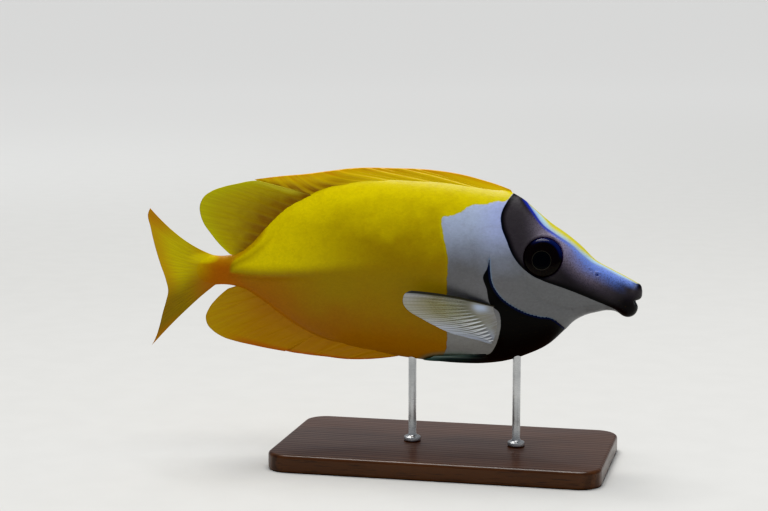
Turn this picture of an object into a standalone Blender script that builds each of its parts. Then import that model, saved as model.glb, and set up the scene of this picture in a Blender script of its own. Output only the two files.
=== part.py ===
# Foxface rabbitfish: a still, life-size model on a plain display stand.
# Lengths are millimetres until place_in_metres() turns the finished solids into metres.
# The fish is shaped straight, snout towards +X and back upwards, and then its tail is swung to -Y.

import math

import bmesh
import bpy
import numpy as np

GAP = 0.3  # space kept between pieces that touch
SNOUT_TIP = 99.7
TAIL_ROOT = -74.0

# Outline of the body as (x, height above the table), from the snout to the root of the tail fin.
BACK = [
    (99.7, 71.2), (99.3, 72.4), (98.6, 73.5), (97.4, 74.5), (94.8, 76.0), (87.7, 79.5), (80.6, 83.5),
    (76.0, 88.0), (70.1, 92.7), (63.6, 97.1), (58.0, 101.7), (52.5, 106.2), (47.0, 109.0), (40.0, 110.1),
    (25.0, 112.2), (6.0, 113.2), (-4.0, 113.1), (-14.0, 112.2), (-24.4, 109.9), (-35.6, 105.0),
    (-44.6, 99.8), (-52.3, 92.4), (-58.0, 86.0), (-63.0, 82.0), (-68.0, 80.6), (-75.0, 81.2),
]
BELLY = [
    (99.7, 70.4), (99.3, 68.4), (98.7, 66.2), (98.0, 64.1), (97.3, 62.6), (96.3, 61.6), (94.2, 60.9),
    (92.2, 61.4), (89.6, 62.9), (86.8, 63.3), (82.0, 62.4), (77.5, 61.0), (72.8, 58.2), (69.3, 54.6),
    (64.4, 49.8), (54.5, 44.3), (46.0, 41.4), (38.0, 40.1), (28.0, 39.7), (13.5, 40.4), (3.0, 41.4),
    (-8.0, 43.0), (-20.0, 45.0), (-36.0, 50.2), (-46.0, 56.0), (-54.0, 62.0), (-61.0, 66.6),
    (-68.0, 68.6), (-75.0, 68.4),
]
HALF_WIDTH = [
    (99.7, 1.7), (99.0, 3.0), (97.4, 3.9), (94.0, 4.3), (88.0, 4.9), (80.0, 6.4), (72.0, 8.2), (62.0, 10.0),
    (52.0, 11.2), (42.0, 12.1), (30.0, 12.7), (15.0, 12.7), (0.0, 12.0), (-15.0, 10.6), (-30.0, 8.6),
    (-42.0, 6.7), (-52.0, 5.0), (-60.0, 3.8), (-68.0, 3.0), (-75.0, 2.5),
]
# Height of the widest line, and the power of the superellipse above and below it, along the body.
WIDEST_AT = [(99.7, 70.8), (97.4, 68.4), (88.0, 70.5), (72.0, 74.0), (50.0, 75.0), (0.0, 77.0), (-75.0, 74.8)]
UPPER_FULLNESS = [
    (99.7, 2.0), (85.0, 2.1), (62.0, 1.75), (45.0, 1.65), (0.0, 1.65), (-50.0, 1.75), (-75.0, 2.0),
]
LOWER_FULLNESS = [
    (99.7, 2.0), (85.0, 2.1), (62.0, 1.6), (40.0, 1.55), (0.0, 1.65), (-50.0, 1.75), (-75.0, 2.0),
]
RING_POINTS = 40

# Where the body is parted, as (height, x): behind the gill covers, behind the breast, before the tail stalk
# and before the tail fin.
GILL_LINE = [
    (54.0, 71.2), (56.1, 69.6), (58.5, 65.6), (61.0, 59.4), (64.7, 52.7), (69.5, 47.1), (74.2, 43.2),
    (84.0, 41.6), (95.0, 42.6), (112.0, 47.0),
]
BREAST_LINE = [(40.0, 22.6), (52.0, 24.2), (77.0, 24.8), (92.0, 23.2), (113.0, 21.0)]
STALK_LINE = [(60.0, -57.5), (75.0, -58.5), (90.0, -57.5)]
TAIL_ROOT_LINE = [(67.0, -73.8), (71.0, -74.9), (74.8, -75.3), (78.6, -74.9), (82.0, -73.8)]
# Shares of the head's length at which its loops lie, closer together towards the lips.
HEAD_SHARES = [0, 0.1, 0.2, 0.3, 0.39, 0.48, 0.57, 0.66, 0.74, 0.81, 0.87, 0.92, 0.955, 0.98, 0.994, 1.0]

# Tail swing: the spine is straight before BEND_START, an arc down to BEND_END, and straight again after it.
BEND_START = -44.0
BEND_END = -84.0
BEND_ANGLE = math.radians(32.0)

# Mouth, lower jaw and gill cover outlines as (x, height).
MOUTH_CORNER = (96.0, 67.6)
UPPER_LIP = (102.0, 69.0)
LOWER_LIP = [(97.2, 66.2), (98.0, 64.4), (98.8, 62.0)]
JAW_REAR = [(92.0, 67.1), (89.2, 66.2), (86.6, 64.4), (84.9, 61.8), (84.4, 58.0)]
JAW_FLOOR = 56.0
MOUTH_SLOPE = 0.2
LIP_RISE, LIP_REACH = 0.5, 1.6
LIP_END = 1.5  # how far behind the mouth's corner the lips run on
LIP_FADE = (8.0, 4.0)  # where behind the corner their relief starts, and over what length it grows
LIP_GROOVE, LIP_GROOVE_AT, LIP_GROOVE_REACH = 0.25, 3.4, 1.0
GILL_COVER_FRONT = [
    (43.4, 84.4), (48.6, 84.8), (52.0, 82.6), (54.6, 78.6), (56.6, 73.4), (60.2, 68.6), (65.2, 65.2),
    (69.6, 61.8), (73.0, 57.0),
]
GILL_COVER_BEHIND = [(66.0, 49.0), (36.0, 58.0), (36.0, 83.0)]
GILL_COVER_DEPTH = 4.8
GILL_COVER_RISE = 0.35

EYE_AT = (61.8, 84.4)
EYE_RADIUS = 7.4
EYE_DEPTH = 3.8
EYE_BULGE = 2.3
EYE_SUNK = 0.5
SOCKET_REACH = 8.0  # how far the socket's cut runs out beyond the head
ORBIT_RISE, ORBIT_REACH = 0.7, 10.5
NOSTRILS = [(83.4, 78.2), (80.8, 79.9)]
NOSTRIL_RADIUS = 0.75

# Fins: outlines as (x, height), whose bases lie inside the body and are cut back to its surface; the number
# of spines or rays; half the thickness at the root, with the rate and power at which it thins along the rays;
# and how far the rays stand out of the skin between them.
MEMBRANE = 0.27  # half the thickness of that skin
RAY_FOOT = 0.27  # from a ray's crest to its foot, as a share of the space between rays
RAY_TIP = 0.05  # a ray's height at the fin's edge
EDGE_THICKNESS = 0.7  # thickness left at that edge, as a share
SPINE_ENDS = 0.06  # share of a spiny band over which it thins at its front and rear
SPINE_RELEASE = 0.14  # share of it over which its root thins where it leaves the body
SPINE_TIP = 0.35  # a spine's height at the band's edge, as a share of its height at the root
SPINE_FAR_SIDE = 0.3  # a spine's height on the side it leans away from, as a share
DORSAL_SPINY = {
    "base": [(49.0, 107.6), (40.0, 109.0), (25.0, 110.6), (5.0, 111.6), (-10.0, 111.0), (-24.0, 108.0),
             (-34.4, 104.9), (-40.0, 106.5), (-48.0, 108.9), (-56.6, 111.4)],
    "edge": [(47.4, 109.9), (41.5, 111.9), (37.3, 113.1), (29.3, 115.1), (17.3, 116.8), (0.0, 117.3),
             (-15.3, 117.0), (-26.0, 115.6), (-35.5, 114.2), (-45.0, 113.2), (-57.0, 111.9)],
    "rays": 13, "root_half": 1.5, "crest": 0.5, "free": 0.76,
}
DORSAL_SOFT = {
    "base": [(-33.6, 104.0), (-38.5, 101.4), (-44.0, 98.0), (-51.0, 91.3), (-57.0, 84.6), (-62.0, 80.6)],
    "edge": [(-57.2, 110.8), (-60.4, 110.6), (-63.4, 110.1), (-69.2, 108.9), (-74.2, 107.3), (-77.6, 104.8),
             (-79.3, 101.2), (-79.0, 97.4), (-77.6, 93.8), (-75.0, 90.0), (-71.4, 85.4), (-67.4, 81.8)],
    "rays": 10, "root_half": 1.3, "taper": (4.0, 1.3), "crest": 0.3, "lean": -1.5,
}
ANAL_SPINY = {
    "base": [(3.5, 43.4), (-8.0, 45.0), (-20.0, 47.2), (-35.5, 52.0)],
    "edge": [(0.5, 40.7), (-5.0, 40.0), (-19.6, 39.2), (-28.0, 39.8), (-36.4, 40.4), (-44.0, 41.5)],
    "rays": 7, "root_half": 1.4, "crest": 0.5, "free": 1.2,
}
ANAL_SOFT = {
    "base": [(-36.6, 52.4), (-46.0, 58.0), (-54.0, 64.0), (-60.0, 68.0)],
    "edge": [(-45.0, 41.6), (-51.0, 42.4), (-56.1, 43.4), (-65.4, 45.6), (-70.3, 47.3), (-74.0, 49.6),
             (-76.7, 52.6), (-77.4, 55.8), (-75.9, 59.4), (-72.8, 63.2), (-68.4, 66.8)],
    "rays": 9, "root_half": 1.2, "taper": (4.0, 1.3), "crest": 0.3, "lean": -1.5,
}
TAIL = {
    "edge": [(-99.6, 100.7), (-100.4, 98.8), (-99.3, 92.8), (-97.6, 85.3), (-95.5, 78.1), (-93.4, 71.5),
             (-92.6, 66.9), (-93.5, 63.1), (-95.0, 58.3), (-96.5, 53.0), (-98.2, 48.4), (-100.0, 45.2)],
    "sweep": (-6.1, 2.4),  # how far the upper and the lower rays bow
    "inset": 0.3, "rays": 17, "taper": (4.2, 1.4), "crest": 0.3, "border": 0.25,
}
PECTORAL = {
    "root": [(45.0, 66.0), (45.9, 58.4), (43.6, 51.0)],
    "edge": [(12.2, 71.6), (9.8, 70.0), (9.3, 67.2), (10.6, 64.2), (14.4, 61.8), (20.5, 58.2), (26.3, 54.9),
             (32.0, 53.0), (37.4, 51.8)],
    "rays": 15, "root_half": 1.22, "taper": (7.0, 2.0), "crest": 0.26, "sunk": 0.9,
    "splay": math.radians(21.0), "arch": 1.6, "bow": 0.6, "flare": 0.8,
}
PELVIC = {
    "root": [(38.6, 44.6), (39.2, 43.2), (39.4, 41.6)],
    "edge": [(18.5, 42.8), (15.0, 41.8), (13.0, 41.0)],
    "rays": 5, "root_half": 0.42, "tip_half": 0.28, "crest": 0.2, "lift": 0.94,
}

# Display stand: a slab with round corners and bevelled edges, and two rods with a foot ring each.
BASE_SIZE = (132.0, 72.0, 7.0)
BASE_CENTRE_X = 22.0
BASE_CORNER = 9.0
BASE_BEVEL = 1.2
BASE_UNDERCUT = 0.6
ROD_RADIUS = 1.6
ROD_AT = (50.5, 8.2)
ROD_INTO_BODY = 2.0
FOOT_RING = [(3.4, 0.0), (3.4, 1.6), (2.6, 2.4), (ROD_RADIUS, 2.6)]  # (radius, height above the gap)

# Colour, roughness and metallic value of each kind of piece, by the start of its name.
LOOKS = {
    "head": ((0.42, 0.43, 0.46), 0.4, 0.0),
    "lower_jaw": ((0.08, 0.08, 0.10), 0.4, 0.0),
    "gill_cover": ((0.55, 0.56, 0.58), 0.35, 0.0),
    "eye": ((0.01, 0.01, 0.02), 0.08, 0.0),
    "trunk_front": ((0.62, 0.64, 0.68), 0.4, 0.0),
    "trunk_rear": ((0.78, 0.55, 0.01), 0.42, 0.0),
    "tail_stalk": ((0.72, 0.36, 0.01), 0.42, 0.0),
    "tail_fin": ((0.75, 0.56, 0.01), 0.45, 0.0),
    "dorsal_fin_spiny": ((0.80, 0.36, 0.01), 0.45, 0.0),
    "dorsal_fin_soft": ((0.70, 0.55, 0.02), 0.45, 0.0),
    "anal_fin_spiny": ((0.62, 0.22, 0.01), 0.45, 0.0),
    "anal_fin_soft": ((0.70, 0.50, 0.02), 0.45, 0.0),
    "pectoral_fin": ((0.80, 0.80, 0.72), 0.35, 0.0),
    "pelvic_fin": ((0.05, 0.05, 0.05), 0.45, 0.0),
    "stand_base": ((0.09, 0.045, 0.02), 0.35, 0.0),
    "stand_rod": ((0.55, 0.55, 0.56), 0.28, 1.0),
}


def slopes_of(xs, ys):
    step = np.diff(xs)
    rise = np.diff(ys) / step
    inner = (step[:-1] * rise[1:] + step[1:] * rise[:-1]) / (step[:-1] + step[1:])
    return np.concatenate([[2 * rise[0] - inner[0]], inner, [2 * rise[-1] - inner[-1]]])


def smooth(points, x):
    # Cubic pieces through the points, each with the slope of the parabola through it and its neighbours.
    xs, ys = np.array(sorted(points)).T
    slope = slopes_of(xs, ys)
    x = np.clip(x, xs[0], xs[-1])
    i = np.clip(np.searchsorted(xs, x) - 1, 0, len(xs) - 2)
    h = xs[i + 1] - xs[i]
    t = (x - xs[i]) / h
    return (
        ys[i] * (1 + 2 * t) * (1 - t) ** 2 + ys[i + 1] * t * t * (3 - 2 * t)
        + h * slope[i] * t * (1 - t) ** 2 - h * slope[i + 1] * t * t * (1 - t)
    )


def along(points, t):
    # The points at shares t of the length of a smooth curve through the given points.
    points = np.array(points, dtype=float)
    reach = np.concatenate([[0], np.cumsum(np.linalg.norm(np.diff(points, axis=0), axis=1))])
    reach /= reach[-1]
    return np.stack([smooth(list(zip(reach, column)), t) for column in points.T], axis=-1)


def section(x, c, grow=0.0, swell=0.0):
    # Half width and height of the body at x; c runs from 1 at the back to -1 at the belly.
    wide = smooth(WIDEST_AT, x)
    reach = np.where(c > 0, smooth(BACK, x) + grow - wide, wide - smooth(BELLY, x) + grow)
    fullness = np.where(c > 0, smooth(UPPER_FULLNESS, x), smooth(LOWER_FULLNESS, x))
    z = wide + reach * c
    bulge = np.clip(1 - np.abs(c) ** fullness, 0, 1) ** (1 / fullness)
    y = (smooth(HALF_WIDTH, x) + grow + swell) * bulge
    return y + details(x, z) * np.clip(bulge * 4, 0, 1), z


def details(x, z):
    # The swelling round the eye and the lips, added to the half width.
    from_eye = np.hypot(x - EYE_AT[0], z - EYE_AT[1])
    orbit = ORBIT_RISE * np.exp(-((from_eye / ORBIT_REACH) ** 4))
    level = MOUTH_CORNER[1] + MOUTH_SLOPE * (x - MOUTH_CORNER[0])
    from_mouth = np.hypot(np.clip(MOUTH_CORNER[0] - LIP_END - x, 0, None), z - level)
    lips = LIP_RISE * np.exp(-((from_mouth / LIP_REACH) ** 2))
    lips -= LIP_GROOVE * np.exp(-(((from_mouth - LIP_GROOVE_AT) / LIP_GROOVE_REACH) ** 2))
    return orbit + lips * np.clip((x - MOUTH_CORNER[0] + LIP_FADE[0]) / LIP_FADE[1], 0, 1)


def flank(x, z):
    # Half width of the body at a given x and height.
    wide = smooth(WIDEST_AT, x)
    reach = np.where(z > wide, smooth(BACK, x) - wide, wide - smooth(BELLY, x))
    return section(x, np.clip((z - wide) / reach, -1, 1))[0]


def outward(x, z, side):
    # Point on the flank and the unit normal there; side is -1 for the fish's right and +1 for its left.
    step = 0.4
    y = flank(x, z)
    normal = np.stack([
        -(flank(x + step, z) - flank(x - step, z)) / (2 * step), np.ones_like(y) * side,
        -(flank(x, z + step) - flank(x, z - step)) / (2 * step),
    ], axis=-1)
    return np.stack([x, y * side, z], axis=-1), normal / np.linalg.norm(normal, axis=-1, keepdims=True)


def ring(line, grow=0.0, swell=0.0):
    # One loop round the body, where x follows the line given as a function of height.
    angle = np.arange(RING_POINTS) * 2 * math.pi / RING_POINTS
    c = np.cos(angle)
    low = np.full(RING_POINTS, TAIL_ROOT - 20.0)
    high = np.full(RING_POINTS, SNOUT_TIP + 20.0)
    for _ in range(45):
        x = (low + high) / 2
        ahead = x > line(section(x, c, grow)[1])
        high = np.where(ahead, x, high)
        low = np.where(ahead, low, x)
    y, z = section(x, c, grow, swell)
    return np.stack([x, y * np.sign(np.round(np.sin(angle), 9)), z], axis=-1)


def make(name, vertices, faces):
    mesh = bpy.data.meshes.new(name)
    mesh.from_pydata([tuple(v) for v in np.asarray(vertices, dtype=float)], [], faces)
    shape = bmesh.new()
    shape.from_mesh(mesh)
    bmesh.ops.recalc_face_normals(shape, faces=shape.faces)
    shape.to_mesh(mesh)
    shape.free()
    made = bpy.data.objects.new(name, mesh)
    bpy.context.scene.collection.objects.link(made)
    return made


def loft(name, loops, pointed=False):
    # Skin over the loops. Each end is closed by strips from the right side to the left, or by a point.
    count = len(loops[0])
    vertices = [tuple(v) for loop in loops for v in loop]
    faces = []
    for k in range(len(loops) - 1):
        for j in range(count):
            n = (j + 1) % count
            faces.append((k * count + j, k * count + n, (k + 1) * count + n, (k + 1) * count + j))
    faces += end_strips(0, count)
    if pointed:
        vertices.append(tuple(np.mean(loops[-1], axis=0)))
        last = (len(loops) - 1) * count
        faces += [(last + j, last + (j + 1) % count, len(vertices) - 1) for j in range(count)]
    else:
        faces += end_strips((len(loops) - 1) * count, count)
    return make(name, vertices, faces)


def end_strips(first, count):
    half = count // 2
    faces = [(first, first + 1, first + count - 1), (first + half - 1, first + half, first + half + 1)]
    for j in range(1, half - 1):
        faces.append((first + j, first + j + 1, first + count - j - 1, first + count - j))
    return faces


def body_length(name, rear, front, shares, pointed=False, grow=0.0, swell=0.0):
    # A length of the body between two parting lines, with half the gap left at each.
    loops = []
    for share in shares:
        inset = GAP / 2 * (1 - 2 * share)

        def line(z, share=share, inset=inset):
            return (1 - share) * rear(z) + share * front(z) + inset

        loops.append(ring(line, grow, swell))
    return loft(name, loops, pointed)


def prism(name, outline, low, high):
    # The outline, given as (x, height), carried from y = low to y = high.
    count = len(outline)
    vertices = [(x, low, z) for x, z in outline] + [(x, high, z) for x, z in outline]
    faces = [tuple(range(count)), tuple(range(2 * count - 1, count - 1, -1))]
    faces += [(j, (j + 1) % count, count + (j + 1) % count, count + j) for j in range(count)]
    return make(name, vertices, faces)


def grown(outline, distance):
    # The outline with each corner moved outwards by the distance.
    points = np.array(outline, dtype=float)
    before = points - np.roll(points, 1, axis=0)
    after = np.roll(points, -1, axis=0) - points
    turn = np.sum(before[:, 0] * after[:, 1] - before[:, 1] * after[:, 0])
    out = np.zeros_like(points)
    for run in (before, after):
        out += np.stack([run[:, 1], -run[:, 0]], axis=1) / np.linalg.norm(run, axis=1)[:, None]
    out /= np.maximum(np.sum(out * out, axis=1) / 2, 0.5)[:, None]
    return [tuple(p) for p in points + math.copysign(distance, turn) * out]


def turned(name, profile, centre, axis, steps=24):
    # The (radius, height) profile turned round an axis; its first and last points lie on the axis.
    axis = np.array(axis) / np.linalg.norm(axis)
    side = np.cross(axis, (1.0, 0.0, 0.0) if abs(axis[0]) < 0.9 else (0.0, 1.0, 0.0))
    side /= np.linalg.norm(side)
    other = np.cross(axis, side)
    angle = np.arange(steps) * 2 * math.pi / steps
    spokes = np.cos(angle)[:, None] * side + np.sin(angle)[:, None] * other
    vertices = [centre + axis * profile[0][1]]
    for radius, height in profile[1:-1]:
        vertices += list(centre + axis * height + radius * spokes)
    vertices.append(centre + axis * profile[-1][1])
    last = len(vertices) - 1
    loops = len(profile) - 2
    faces = [(0, 1 + j, 1 + (j + 1) % steps) for j in range(steps)]
    for k in range(loops - 1):
        for j in range(steps):
            n = (j + 1) % steps
            here, after = 1 + k * steps, 1 + (k + 1) * steps
            faces.append((here + j, here + n, after + n, after + j))
    faces += [(last, last - steps + (j + 1) % steps, last - steps + j) for j in range(steps)]
    return make(name, vertices, faces)


def combine(target, tools, operation):
    # Applies one Boolean for each tool to the target and removes the tools.
    for tool in tools:
        tool.hide_render = True
        tool.display_type = "WIRE"
        step = target.modifiers.new("join", "BOOLEAN")
        step.operation = operation
        step.solver = "EXACT"
        step.object = tool
        settle(target)
    for tool in tools:
        bpy.data.objects.remove(tool)
    return target


def settle(target):
    # Applies the modifiers and keeps the largest closed surface.
    graph = bpy.context.evaluated_depsgraph_get()
    mesh = bpy.data.meshes.new_from_object(target.evaluated_get(graph))
    target.modifiers.clear()
    target.data = mesh
    shape = bmesh.new()
    shape.from_mesh(mesh)
    shape.faces.ensure_lookup_table()
    left = set(shape.faces)
    shells = []
    while left:
        shell = set()
        reach = [next(iter(left))]
        while reach:
            face = reach.pop()
            if face in shell:
                continue
            shell.add(face)
            reach += [other for edge in face.edges for other in edge.link_faces if other not in shell]
        shells.append(shell)
        left -= shell
    shells.sort(key=lambda shell: sum(face.calc_area() for face in shell))
    loose = [face for shell in shells[:-1] for face in shell]
    bmesh.ops.delete(shape, geom=loose, context="FACES")
    shape.to_mesh(mesh)
    shape.free()


def sheet(name, middle, left, right):
    # A thin solid about a grid of points [along the ray, across the rays], split alike on both faces.
    down = np.gradient(middle, axis=0)
    over = np.gradient(middle, axis=1)
    normal = np.cross(over, down)
    normal /= np.linalg.norm(normal, axis=-1, keepdims=True)
    rows, columns = middle.shape[:2]
    first = (middle + normal * left[..., None]).reshape(-1, 3)
    second = (middle - normal * right[..., None]).reshape(-1, 3)
    size = rows * columns
    faces = []
    for i in range(rows - 1):
        for j in range(columns - 1):
            a = i * columns + j
            b, c, d = a + 1, a + columns + 1, a + columns
            faces += [(a, b, c), (a, c, d), (size + a, size + c, size + b), (size + a, size + d, size + c)]
    edge = list(range(columns))
    edge += [i * columns + columns - 1 for i in range(1, rows)]
    edge += [(rows - 1) * columns + j for j in range(columns - 2, -1, -1)]
    edge += [i * columns for i in range(rows - 2, 0, -1)]
    for a, b in zip(edge, edge[1:] + edge[:1]):
        faces += [(a, size + a, size + b), (a, size + b, b)]
    return make(name, np.concatenate([first, second]), faces)


def ray_columns(count):
    # Shares across a fin: the crest and the two feet of each ray.
    foot = RAY_FOOT / (count - 1)
    crests = np.arange(count) / (count - 1)
    return np.unique(np.clip(np.concatenate([crests - foot, crests, crests + foot]), 0, 1)), crests


def thinning(fin, v):
    # From 1 at the root to 0 along the rays.
    rate, power = fin["taper"]
    return np.exp(-((v * rate) ** power))


def ridge(columns, crests, rows, root, tip):
    # Height of the rays above the membrane: root at the base of the fin, tip at its edge.
    near = np.min(np.abs(columns[:, None] - crests[None, :]), axis=1) < 1e-9
    return (root + (tip - root) * rows[:, None]) * near[None, :]


def edge_fin(name, fin):
    # A fin in the middle plane: rays run straight from base to edge, and the root thins to the membrane.
    columns, crests = ray_columns(fin["rays"])
    rows = np.linspace(0, 1, 7)
    v = rows[:, None, None]
    flat = along(fin["base"], columns) * (1 - v) + along(fin["edge"], columns) * v
    lean = fin["lean"] * rows[:, None] ** 2 + 0 * flat[..., 0]
    middle = np.stack([flat[..., 0], lean, flat[..., 1]], axis=-1)
    half = MEMBRANE + (fin["root_half"] - MEMBRANE) * thinning(fin, rows[:, None])
    half = half + ridge(columns, crests, rows, fin["crest"], RAY_TIP)
    half[-1] *= EDGE_THICKNESS
    return sheet(name, middle, half, half)


def folded_spines(name, fin):
    # A low band of spines laid back on each other, each leaning to the other side than the last. Past the
    # share "free" of its length the band's lower edge leaves the body, and its root is thin.
    columns, crests = ray_columns(fin["rays"])
    rows = np.array([0.0, 0.35, 0.7, 1.0])
    v = rows[:, None, None]
    flat = along(fin["base"], columns) * (1 - v) + along(fin["edge"], columns) * v
    middle = np.stack([flat[..., 0], np.zeros(flat.shape[:2]), flat[..., 1]], axis=-1)
    ends = np.clip(np.minimum(columns, 1 - columns) / SPINE_ENDS, 0.25, 1)
    seated = np.clip((fin["free"] - columns) / SPINE_RELEASE, 0.32, 1)
    half = fin["root_half"] * (1 - 0.72 * rows[:, None] ** 0.8) * (ends * seated)[None, :]
    half = np.maximum(half, MEMBRANE)
    order = np.argmin(np.abs(columns[:, None] - crests[None, :]), axis=1)
    lift = ridge(columns, crests, rows, fin["crest"], fin["crest"] * SPINE_TIP) * seated[None, :]
    left = half + lift * np.where(order % 2 == 0, 1.0, SPINE_FAR_SIDE)
    right = half + lift * np.where(order % 2 == 0, SPINE_FAR_SIDE, 1.0)
    return sheet(name, middle, left, right)


def tail_fin():
    # Rays fan out from the stalk's end; each is a curve with one control point, bowed by the sweep.
    columns, crests = ray_columns(TAIL["rays"])
    rows = np.linspace(0, 1, 8)
    top = smooth(BACK, TAIL_ROOT) - TAIL["inset"]
    low = smooth(BELLY, TAIL_ROOT) + TAIL["inset"]
    height = top + (low - top) * columns
    root = np.stack([smooth(TAIL_ROOT_LINE, height) - GAP / 2, np.zeros_like(columns), height], axis=-1)
    edge = along(TAIL["edge"], columns)
    tip = np.stack([edge[:, 0], np.zeros_like(columns), edge[:, 1]], axis=-1)
    bend = (root + tip) / 2
    bend[:, 2] += TAIL["sweep"][0] + (TAIL["sweep"][1] - TAIL["sweep"][0]) * columns
    v = rows[:, None, None]
    middle = root * (1 - v) ** 2 + 2 * bend * v * (1 - v) + tip * v * v
    root_half = smooth(HALF_WIDTH, TAIL_ROOT) * np.sqrt(np.clip(1 - (2 * columns - 1) ** 2 * 0.96, 0, 1))
    half = MEMBRANE + (root_half - MEMBRANE)[None, :] * thinning(TAIL, rows[:, None])
    border = TAIL["border"] * np.clip(1 - np.minimum(columns, 1 - columns) * 14, 0, 1)
    half = half + ridge(columns, crests, rows, TAIL["crest"], RAY_TIP) + border[None, :] * (1 - rows[:, None])
    half[-1] *= EDGE_THICKNESS
    return sheet("tail_fin", middle, half, half)


def pectoral_fin(name, side):
    # A paddle that stands off the flank by its splay; its upper rays arch upwards.
    fin = PECTORAL
    columns, crests = ray_columns(fin["rays"])
    rows = np.array([0.0, 0.1, 0.22, 0.4, 0.6, 0.8, 1.0])
    root = along(fin["root"], columns)
    edge = along(fin["edge"], columns)
    start = flank(root[:, 0], root[:, 1]) - fin["sunk"]
    length = np.linalg.norm(edge - root, axis=1)
    v = rows[:, None]
    swell = 4 * v * (1 - v)
    x = root[:, 0] * (1 - v) + edge[:, 0] * v
    z = root[:, 1] * (1 - v) + edge[:, 1] * v + fin["arch"] * (1 - columns) ** 3 * swell
    y = start + math.sin(fin["splay"]) * length * v ** 0.9
    y += fin["bow"] * np.sin(columns * math.pi) * swell + fin["flare"] * v
    middle = np.stack([x, side * y, z], axis=-1)
    half = MEMBRANE + (fin["root_half"] - MEMBRANE) * thinning(fin, v)
    half = half + ridge(columns, crests, rows, fin["crest"], RAY_TIP)
    half[-1] *= EDGE_THICKNESS
    return sheet(name, middle, half, half)


def pelvic_fin(name, side):
    # Rays laid together along the belly, just off the skin.
    fin = PELVIC
    columns, crests = ray_columns(fin["rays"])
    rows = np.array([0.0, 0.25, 0.5, 0.75, 1.0])
    v = rows[:, None, None]
    flat = along(fin["root"], columns) * (1 - v) + along(fin["edge"], columns) * v
    on_skin, normal = outward(flat[..., 0], flat[..., 1], side)
    half = fin["root_half"] + (fin["tip_half"] - fin["root_half"]) * rows[:, None]
    half = half + ridge(columns, crests, rows, fin["crest"], RAY_TIP)
    return sheet(name, on_skin + normal * fin["lift"], half, half)


def eye(name, side, spare=0.0):
    # The eyeball's dome on a short barrel, or the socket for it when spare room is asked for.
    at, axis = outward(np.array([EYE_AT[0]]), np.array([EYE_AT[1]]), side)
    radius = EYE_RADIUS + spare
    if spare:
        floor = -EYE_DEPTH - spare
        profile = [(0, floor), (radius, floor), (radius, SOCKET_REACH), (0, SOCKET_REACH)]
    else:
        turns = np.radians([0, 18, 38, 58, 76])
        dome = [(radius * math.cos(t), EYE_BULGE * math.sin(t)) for t in turns]
        profile = [(0, -EYE_DEPTH), (radius, -EYE_DEPTH)] + dome + [(0, EYE_BULGE)]
    return turned(name, profile, at[0] - axis[0] * EYE_SUNK, axis[0])


def nostril(at, side):
    point, axis = outward(np.array([at[0]]), np.array([at[1]]), side)
    radius = NOSTRIL_RADIUS
    profile = [(0, -1.0), (radius * 0.5, -0.9), (radius, 0.1), (radius * 1.6, 1.2), (0, 1.2)]
    return turned("nostril", profile, point[0], axis[0], 10)


def gill_cover_outline():
    # The front edge as a smooth curve, closed behind the head where the parting line cuts the cover off.
    front = along(GILL_COVER_FRONT, np.linspace(0, 1, 21))
    return [tuple(p) for p in front] + GILL_COVER_BEHIND


def head_and_jaw():
    # The head, from which the jaw, the gill covers and the eyes' sockets are cut with the gap between.
    def rear(z):
        return smooth(GILL_LINE, z)

    def front(z):
        return np.full_like(z, SNOUT_TIP)

    far = 20.0  # beyond the head's side
    head = body_length("head", rear, front, HEAD_SHARES, pointed=True)
    jaw = body_length("lower_jaw", rear, front, HEAD_SHARES, pointed=True)
    chin, throat = (LOWER_LIP[-1][0], JAW_FLOOR), (JAW_REAR[-1][0], JAW_FLOOR)
    jaw_outline = [MOUTH_CORNER] + LOWER_LIP + [chin, throat] + JAW_REAR[::-1]
    open_mouth = [MOUTH_CORNER, UPPER_LIP, (UPPER_LIP[0] + 2.0, LOWER_LIP[-1][1] - 2.0)] + LOWER_LIP[::-1]
    combine(jaw, [prism("jaw_outline", jaw_outline, -far, far)], "INTERSECT")
    cover_outline = gill_cover_outline()
    cutters = [
        prism("jaw_space", grown(jaw_outline, GAP), -far, far),
        prism("mouth", open_mouth, -far, far),
    ]
    for side, word in ((-1, "right"), (1, "left")):
        name = "gill_cover_" + word
        cover = body_length(name, rear, front, HEAD_SHARES, pointed=True, swell=GILL_COVER_RISE)
        reach = sorted((side * GILL_COVER_DEPTH, side * far))
        combine(cover, [prism("cover_outline", cover_outline, *reach)], "INTERSECT")
        space = sorted((side * (GILL_COVER_DEPTH - GAP), side * far))
        cutters.append(prism("cover_space", grown(cover_outline, GAP), *space))
        cutters.append(eye("socket", side, GAP))
        cutters += [nostril(at, side) for at in NOSTRILS]
    combine(head, cutters, "DIFFERENCE")


def trunk():
    def gill(z):
        return smooth(GILL_LINE, z)

    def breast(z):
        return smooth(BREAST_LINE, z)

    def stalk(z):
        return smooth(STALK_LINE, z)

    def root(z):
        return smooth(TAIL_ROOT_LINE, z)

    body_length("trunk_front", breast, gill, np.linspace(0, 1, 7))
    body_length("trunk_rear", stalk, breast, np.linspace(0, 1, 16))
    body_length("tail_stalk", root, stalk, np.linspace(0, 1, 6))


def clearance():
    # The whole body grown by the gap, for cutting back what stands on it.
    stations = np.concatenate([np.linspace(TAIL_ROOT - GAP, 44, 28), np.linspace(50, SNOUT_TIP, 12)])
    return loft("clearance", [ring(lambda z, at=at: np.full_like(z, at), grow=GAP) for at in stations])


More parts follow.
